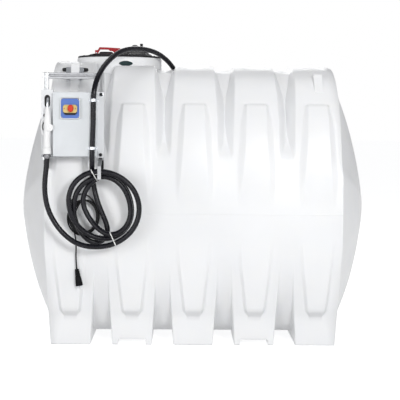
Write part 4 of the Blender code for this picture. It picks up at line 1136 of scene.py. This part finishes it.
make_frame()


# The arms and the bolt through the lug


def make_hanger():
    for side, sign in (("left", -1), ("right", 1)):
        rounded(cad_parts[f"{side}_hanger_arm"], 0.0016, 3)
        low, high, mid = node_box(f"{side}_cap_nut")
        start = high.x if sign < 0 else low.x
        long = high.x - low.x - 0.0002
        fit(lathe(
            f"{side}_bolt_cap",
            [
                (0.0, long), (0.0045, long * 0.98), (0.008, long * 0.9), (0.0097, long * 0.75),
                (0.0103, long * 0.4), (0.0109, long * 0.1), (0.0109, 0.0006), (0.0, 0.0006),
            ],
            (start, mid.y, mid.z), BLACK, direction=(sign, 0, 0), steps=36,
        ), f"{side}_cap_nut")
        place = (start - sign * 0.0004, mid.y, mid.z)
        washer(f"{side}_bolt_washer", place, (sign, 0, 0), 0.0125, 0.0016)


make_hanger()


# Cabinet and switch

CABINET_LOW = (-0.717, 0.997)
CABINET_HIGH = (-0.4955, 1.321)
CABINET_FRONT = -0.78
CABINET_BACK = -0.7036


def make_cabinet():
    fit(block(
        "cabinet_cover", (CABINET_LOW[0], CABINET_FRONT, CABINET_LOW[1]),
        (CABINET_HIGH[0], CABINET_FRONT + 0.03, CABINET_HIGH[1]), CABINET, 0.0035, 4,
    ), "cabinet", slot="cabinet_grey")
    fit(block(
        "cabinet_tub", (CABINET_LOW[0] + 0.0015, CABINET_FRONT + 0.0295, CABINET_LOW[1] + 0.0015),
        (CABINET_HIGH[0] - 0.0015, CABINET_BACK, CABINET_HIGH[1] - 0.0015), CABINET, 0.0025, 3,
    ))
    for k, (x, z) in enumerate(((-0.706, 1.31), (-0.5415, 1.31), (-0.706, 1.008), (-0.544, 1.008))):
        fit(lathe(
            f"cover_screw_{k + 1}",
            [
                (0.0, 0.0006), (0.0016, 0.0006), (0.0018, 0.0016), (0.003, 0.0016), (0.004, 0.0009),
                (0.0042, 0.0),
            ],
            (x, CABINET_FRONT, z), CABINET, direction=FORWARD, steps=24,
        ))


def octagon(low, high, cut):
    """A rectangle in the front plane with its corners cut."""
    (x0, z0), (x1, z1) = low, high
    return [
        (x0 + cut, z0), (x1 - cut, z0), (x1, z0 + cut), (x1, z1 - cut), (x1 - cut, z1), (x0 + cut, z1),
        (x0, z1 - cut), (x0, z0 + cut),
    ]


def make_switch():
    x, z = -0.6275, 1.239
    back = CABINET_FRONT - 0.0003
    front = back - 0.022
    half_w, half_h = 0.049, 0.052
    outline = octagon((x - half_w, z - half_h), (x + half_w, z + half_h), 0.004)
    housing = plate("switch_box", outline, front, back, WHITE_PLASTIC, bevel=0.0022, segments=3)
    fit(housing, "switch_housing")
    w, h = 0.0462, 0.0492
    # The corners are cut in by round screw seats
    face = []
    for cx, cz, start in ((1, -1, 180), (1, 1, 270), (-1, 1, 0), (-1, -1, 90)):
        for k in range(7):
            turn = math.radians(start - 90 * k / 6)
            face.append((x + cx * w + 0.0085 * math.cos(turn), z + cz * h + 0.0085 * math.sin(turn)))
    fit(plate("switch_panel", face, front - 0.0023, front - 0.0003, BLUE, bevel=0.0006), "switch_face")
    for k, (sx, sz) in enumerate(((1, 1), (1, -1), (-1, 1), (-1, -1))):
        place = (x + sx * (half_w - 0.0068), front + 0.0004, z + sz * (half_h - 0.0068))
        fit(lathe(
            f"switch_screw_{k + 1}",
            [
                (0.0, 0.001), (0.0009, 0.001), (0.0011, 0.0018), (0.0018, 0.0018), (0.0023, 0.0012),
                (0.0025, 0.0),
            ],
            place, BLACK, direction=FORWARD, steps=20,
        ))
    base_x, base_z = x + 0.001, z - 0.0023
    base_back = front - 0.0026

    def around(half_w, half_h, cut, drop=0.0):
        mid_z = base_z - drop
        return octagon((base_x - half_w, mid_z - half_h), (base_x + half_w, mid_z + half_h), cut)

    # The black rim reaches 10 mm below the yellow surround. It is partly the switch's black base and partly
    # painted shadow under the surround.
    outline = around(0.033, 0.02, 0.0085, 0.01)
    fit(plate("switch_rim_and_shadow", outline, base_back - 0.0075, base_back, BLACK, bevel=0.0012), "switch_base")
    fit(plate(
        "switch_surround", around(0.0352, 0.0196, 0.0068), base_back - 0.0138, base_back - 0.0076, YELLOW,
        bevel=0.0016, segments=3,
    ), slot="yellow_plastic")
    fit(lathe(
        "switch_mark_left", [(0.0, 0.0012), (0.002, 0.0011), (0.0026, 0.0004), (0.0026, 0.0), (0.0, 0.0)],
        (base_x - 0.029, base_back - 0.0138, z - 0.001), RED, direction=FORWARD, steps=20,
    ))
    fit(block(
        "switch_latch", (base_x + 0.0255, base_back - 0.0146, z - 0.005),
        (base_x + 0.028, base_back - 0.0132, z + 0.003), GREY, 0.0004, 2,
    ))
    low, high, mid = node_box("switch_knob")
    rings = []
    levels = (
        (0.98, 0.0), (1.0, 0.06), (0.985, 0.3), (0.955, 0.55), (0.9, 0.78), (0.8, 0.93), (0.66, 0.985),
        (0.4, 1.0),
    )
    for reach, share in levels:
        y = high.y - (high.y - low.y) * share
        ring = []
        for a in circle(48):
            pinch = 1.0 + 0.02 * math.cos(2 * a) * share
            x = mid.x + 0.0149 * reach * pinch * math.cos(a)
            ring.append((x, y, mid.z + 0.0194 * reach * math.sin(a)))
        rings.append(ring)
    knob = skin("switch_turn_knob", rings, ORANGE_RED)
    fit(knob, "switch_knob", slot="orange_red_plastic", body="switch")
    for sign in (-1, 1):
        fit(block(
            f"knob_ridge_{'left' if sign < 0 else 'right'}",
            (mid.x + sign * 0.0068 - 0.0009, low.y + 0.0004, mid.z - 0.0125),
            (mid.x + sign * 0.0068 + 0.0009, low.y + 0.004, mid.z + 0.0125), ORANGE_RED, 0.0006, 2,
        ), body="switch")


make_cabinet()
make_switch()


# Nozzle, its holder and the clamp on its hose

NOZZLE_X = -0.747
NOZZLE_Y = -0.7738


def make_holder():
    rounded(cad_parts["nozzle_holder"], 0.001, 2)
    # A black block behind the slot: painted shade in the slot's recess
    fit(block("holder_slot_painted_shade", (-0.765, -0.7485, 1.236), (-0.729, -0.742, 1.315), BLACK, 0.0015))
    # A thin black oval on the holder stands for a hole: its dark inside is painted shade.
    slot = oval(0.0048, 0.0085, (-0.763, 1.2036))
    fit(plate("holder_hole_painted_shade", slot, -0.7527, -0.7518, BLACK, bevel=0.0))


def make_nozzle():
    x, y = NOZZLE_X, NOZZLE_Y
    # The grip's ovals from the collar up: shift of the centre in x, z, half width and half depth
    ovals = (
        (0.0, 1.0403, 0.0178, 0.0178), (0.0, 1.042, 0.0185, 0.0185), (0.0, 1.06, 0.018, 0.0185),
        (0.0, 1.085, 0.0172, 0.0182), (0.0005, 1.105, 0.017, 0.018), (0.0018, 1.12, 0.0178, 0.0182),
        (0.0028, 1.142, 0.0185, 0.0184), (0.0032, 1.165, 0.018, 0.0182), (0.0034, 1.185, 0.0174, 0.0177),
        (0.0034, 1.2, 0.0155, 0.016), (0.0034, 1.215, 0.013, 0.0133), (0.0033, 1.234, 0.0113, 0.0114),
        (0.0031, 1.2415, 0.0103, 0.0103), (0.003, 1.243, 0.0092, 0.0092),
    )
    rings = [
        [(x + shift + wide * math.cos(a), y + deep * math.sin(a), z) for a in circle(40)]
        for shift, z, wide, deep in ovals
    ]
    body = skin("nozzle_grip", rings, WHITE_PLASTIC)
    fit(body, "nozzle_body", slot="white_plastic")
    fit(lathe(
        "nozzle_valve_disc",
        [
            (0.0, 0.0182), (0.0062, 0.0182), (0.0076, 0.0176), (0.008, 0.0158), (0.0096, 0.0154),
            (0.015, 0.0162), (0.0176, 0.016), (0.0191, 0.0142), (0.0195, 0.011), (0.0195, 0.002),
            (0.0187, 0.0002), (0.0, 0.0002),
        ],
        (-0.732, -0.781, 1.142), WHITE_PLASTIC, direction=FORWARD, steps=72,
    ))
    spout_line = smooth_line(
        [
            (x + 0.003, y, 1.2431), (x + 0.003, y, 1.254), (x + 0.003, y + 0.0014, 1.268),
            (x + 0.003, y + 0.008, 1.2792), (x + 0.003, y + 0.0205, 1.2876), (x + 0.003, y + 0.038, 1.2908),
            (x + 0.003, y + 0.054, 1.2902),
        ],
        0.003,
    )
    fit(swept("nozzle_pipe", spout_line, 0.0062, ZINC, 32), "nozzle_spout")
    tip_line = [tuple(spout_line[-1]), (x + 0.003, y + 0.0618, 1.2898)]
    fit(swept("nozzle_pipe_tip", tip_line, 0.0052, ZINC, 32))
    guard = (
        (-0.0115, 1.1845), (-0.019, 1.1825), (-0.0262, 1.1735), (-0.028, 1.15), (-0.025, 1.124),
        (-0.0215, 1.111), (-0.016, 1.102),
    )
    trigger = ((-0.0125, 1.17), (-0.019, 1.16), (-0.0215, 1.143), (-0.0195, 1.129))
    guard_line, trigger_line = (
        smooth_line([(x + shift, y, z) for shift, z in points], 0.003) for points in (guard, trigger)
    )
    fit(swept("nozzle_guard", guard_line, 0.0027, WHITE_PLASTIC), "trigger_guard")
    fit(swept("nozzle_trigger", trigger_line, 0.0024, GREY, 14))
    collar = lathe(
        "nozzle_swivel",
        [
            (0.0, 1.0398), (0.0182, 1.0398), (0.02, 1.0392), (0.0212, 1.0375), (0.0214, 1.034),
            (0.0206, 1.0318), (0.0206, 1.029), (0.0214, 1.027), (0.0215, 1.012), (0.0208, 1.0095),
            (0.0195, 1.0086), (0.0, 1.0086),
        ],
        (x, y, 0.0), WHITE_PLASTIC, steps=96,
        wave=lambda a, h: 1 + (0.012 * math.cos(24 * a) if 1.011 < h < 1.028 else 0.0),
    )
    fit(collar, "nozzle_collar")
    fit(lathe(
        "nozzle_hose_band",
        [
            (0.0, 1.008), (0.015, 1.008), (0.0154, 1.006), (0.0185, 1.0052), (0.0192, 1.004),
            (0.0192, 0.9945), (0.0185, 0.9933), (0.015, 0.9925), (0.0146, 0.9874), (0.0, 0.9874),
        ],
        (x, y, 0.0), DARK_STEEL, steps=64,
    ), "nozzle_hose_clamp", slot="zinc_steel")
    for side, sign in (("left", -1), ("right", 1)):
        fit(block(
            f"hose_band_ear_{side}",
            (x + sign * 0.0185 - 0.0002 if sign > 0 else x - 0.0262, y - 0.006, 0.995),
            (x + 0.0262 if sign > 0 else x - 0.0183, y + 0.003, 1.004), BLACK, 0.0012,
        ))
        screw_head(f"hose_band_screw_{side}", (x + sign * 0.0224, y - 0.006, 0.9995), 0.003, 0.002)


make_holder()
make_nozzle()


# Clamps, fitting, ties, gland and plug


def make_clamp(node, place):
    """A strap over the hose with an ear and a bolt on each side."""
    x, z = place
    back = CABINET_FRONT - 0.0003
    inner, outer = HOSE_RADIUS + 0.0006, HOSE_RADIUS + 0.0022
    arc = [math.radians(180 * k / 20) for k in range(21)]
    foot = [(0.026, back), (0.026, back - 0.0016), (outer + 0.0012, back - 0.0016)]
    points = [(x + out, y) for out, y in foot]
    points += [(x + outer * math.cos(a), HOSE_DOWN_Y - outer * math.sin(a)) for a in arc]
    points += [(x - out, y) for out, y in reversed(foot)] + [(x - inner, back)]
    points += [(x + inner * math.cos(a), HOSE_DOWN_Y - inner * math.sin(a)) for a in reversed(arc)]
    points += [(x + inner, back)]
    strap = plate(node + "_strap", points, z - 0.0075, z + 0.0075, ZINC, plane="xy", bevel=0.0005)
    fit(strap, node, slot="zinc_steel")
    for side, sign in (("left", -1), ("right", 1)):
        place = (x + sign * 0.0196, back - 0.0015, z)
        washer(f"{node}_washer_{side}", place, FORWARD, 0.0062, 0.001)
        hex_nut(f"{node}_bolt_{side}", (place[0], place[1] - 0.001, z), 0.005, 0.004)


def make_fitting():
    line = smooth_line(
        [
            (-0.113, -0.0255, 1.456), (-0.113, -0.0258, 1.465), (-0.1146, -0.0275, 1.4715),
            (-0.1176, -0.03, 1.4768),
        ],
        0.0015,
    )
    fit(swept("tank_fitting_elbow", line, 0.0052, BLACK, 24), "hose_fitting")
    along = (Vector(FEED_RUN[-2]) - Vector(FEED_RUN[-1])).normalized()
    radius, half = HOSE_RADIUS + 0.0008, 0.0014
    fit(lathe(
        "fitting_ring",
        [(0.0, half), (radius, half), (radius + 0.0003, 0.0), (radius, -half), (0.0, -half)],
        Vector(FEED_RUN[-1]) - along * (half + 0.0002), WHITE_PLASTIC, direction=along, steps=48,
    ))


def make_ties(hose_line):
    """Thin straps drawn round the strands of the coil."""
    spots = (
        ("upper", Vector((-0.51, 0, 0.908)), Vector((0.46, 0, -0.89)).normalized(), 0.034),
        ("lower", Vector((-0.41, 0, 0.576)), Vector((0.42, 0, -0.91)).normalized(), 0.052),
    )
    for name, middle, along, reach in spots:
        across = Vector((along.z, 0, -along.x))
        near = []
        for p, q in zip(hose_line, hose_line[1:]):
            a = (Vector(p) - middle).dot(across)
            b = (Vector(q) - middle).dot(across)
            if a * b > 0:
                continue
            hit = Vector(p).lerp(Vector(q), abs(a) / max(abs(a) + abs(b), 1e-9))
            local = (hit - middle).dot(along)
            lean = (Vector(q) - Vector(p)).normalized()
            if abs(local) < reach and abs(lean.dot(across)) > 0.55:
                near.append((local, hit.y))
        # The convex outline round the strands, a little outside them
        outside = HOSE_RADIUS + 0.001
        cloud = []
        for u, y in near:
            for a in circle(24):
                cloud.append((u + outside * math.cos(a), y + outside * math.sin(a)))
        cloud.sort()

        def half(points):
            hull = []
            for p in points:
                while len(hull) > 1 and (
                    (hull[-1][0] - hull[-2][0]) * (p[1] - hull[-2][1])
                    - (hull[-1][1] - hull[-2][1]) * (p[0] - hull[-2][0])
                    <= 0
                ):
                    hull.pop()
                hull.append(p)
            return hull[:-1]

        loop = half(cloud) + half(cloud[::-1])
        line = [middle + along * u + Vector((0, y, 0)) for u, y in loop]
        line = even_steps(np.array([tuple(p) for p in [*line, line[0]]]), 0.004)[:-1]
        rings = []
        count = len(line)
        centre = np.mean(line, axis=0)
        side = np.array(across)
        for k in range(count):
            forward = line[(k + 1) % count] - line[k - 1]
            outward = np.cross(forward / np.linalg.norm(forward), side)
            if np.dot(outward, line[k] - centre) < 0:
                outward = -outward
            corners = ((-1, 0), (-1, 1), (1, 1), (1, 0))
            rings.append([line[k] + side * u * 0.0021 + outward * (o * 0.0013) for u, o in corners])
        fit(skin(f"{name}_tie", rings, TIE, angle=40.0, closed=True))
        front = min(range(count), key=lambda k: line[k][1])
        head = line[front]
        fit(block(
            f"{name}_tie_head", (head[0] - 0.0034, head[1] - 0.0036, head[2] - 0.0034),
            (head[0] + 0.0034, head[1] + 0.0006, head[2] + 0.0034), TIE, 0.0008,
        ))


def make_gland_and_plug():
    gland = lathe(
        "lead_gland_body",
        [
            (0.0, 0.9967), (0.0098, 0.9967), (0.0098, 0.9925), (0.0088, 0.9915), (0.0082, 0.987),
            (0.008, 0.985), (0.0072, 0.984), (0.007, 0.9815), (0.0066, 0.9805), (0.0064, 0.978),
            (0.006, 0.977), (0.0056, 0.9735), (0.005, 0.9727), (0.0, 0.9727),
        ],
        (-0.525, -0.7145, 0.0), BLACK, steps=40,
    )
    fit(gland, "lead_gland")
    top = Vector((-0.605, -0.668, 0.414))
    tilt = math.radians(9)
    down = Vector((math.sin(tilt), 0, -math.cos(tilt)))
    profile = [(0.0, 0.0), (0.0052, 0.0), (0.0066, -0.0012)]
    for k in range(7):
        z = -0.004 - k * 0.0042
        r = 0.0112 + k * 0.0004
        profile += [(r, z), (r + 0.0003, z - 0.0022), (r - 0.0012, z - 0.0026), (r - 0.0012, z - 0.0038)]
    profile += [
        (0.014, -0.0345), (0.0152, -0.04), (0.0166, -0.048), (0.018, -0.06), (0.0186, -0.07),
        (0.0188, -0.0745), (0.0176, -0.0765), (0.0, -0.0765),
    ]
    profile = [(r, z * 1.17) for r, z in profile]
    plug = lathe("plug_body", profile, top, PLUG_RUBBER, direction=-down, steps=48)
    for v in plug.data.vertices:
        depth = v.co.y - top.y
        v.co.y = top.y + depth * 0.8
    fit(plug, "mains_plug")
    pins = []
    for sign in (-1, 1):
        side = Vector((math.cos(tilt), 0, math.sin(tilt))) * sign * 0.0095
        start = top + down * 0.0888 + side
        pin = lathe(
            f"plug_pin_{'left' if sign < 0 else 'right'}",
            [(0.0, 0.0), (0.0024, 0.0), (0.0024, -0.011), (0.0018, -0.013), (0.0, -0.0135)], start, ZINC,
            direction=-down, steps=20,
        )
        fit(pin)
        pins.append(pin)
    return gland, plug, pins


make_clamp("upper_hose_clamp", (-0.5115, 1.281))
make_clamp("lower_hose_clamp", (-0.5165, 1.04))
make_fitting()
GLAND, PLUG, PINS = make_gland_and_plug()
HOSE_LINE = make_hose()
make_ties(HOSE_LINE)
make_lead()


# Finishes of the CAD pieces that stay

# The hose hook takes the aluminium with painted shade.
for node, finish in (
    ("mounting_plate", WHITE), ("nozzle_holder", WHITE), ("hose_hook", PAINTED_SHADE_ALUMINIUM),
    ("left_hanger_arm", ZINC), ("right_hanger_arm", ZINC), ("left_pad", LEAD_RUBBER),
    ("right_pad", LEAD_RUBBER), ("filler_handle", RED), ("left_lug", PE), ("right_lug", PE),
):
    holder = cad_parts[node]
    if not holder.data.materials:
        holder.data.materials.append(finish)
    for place in holder.material_slots:
        place.material = finish
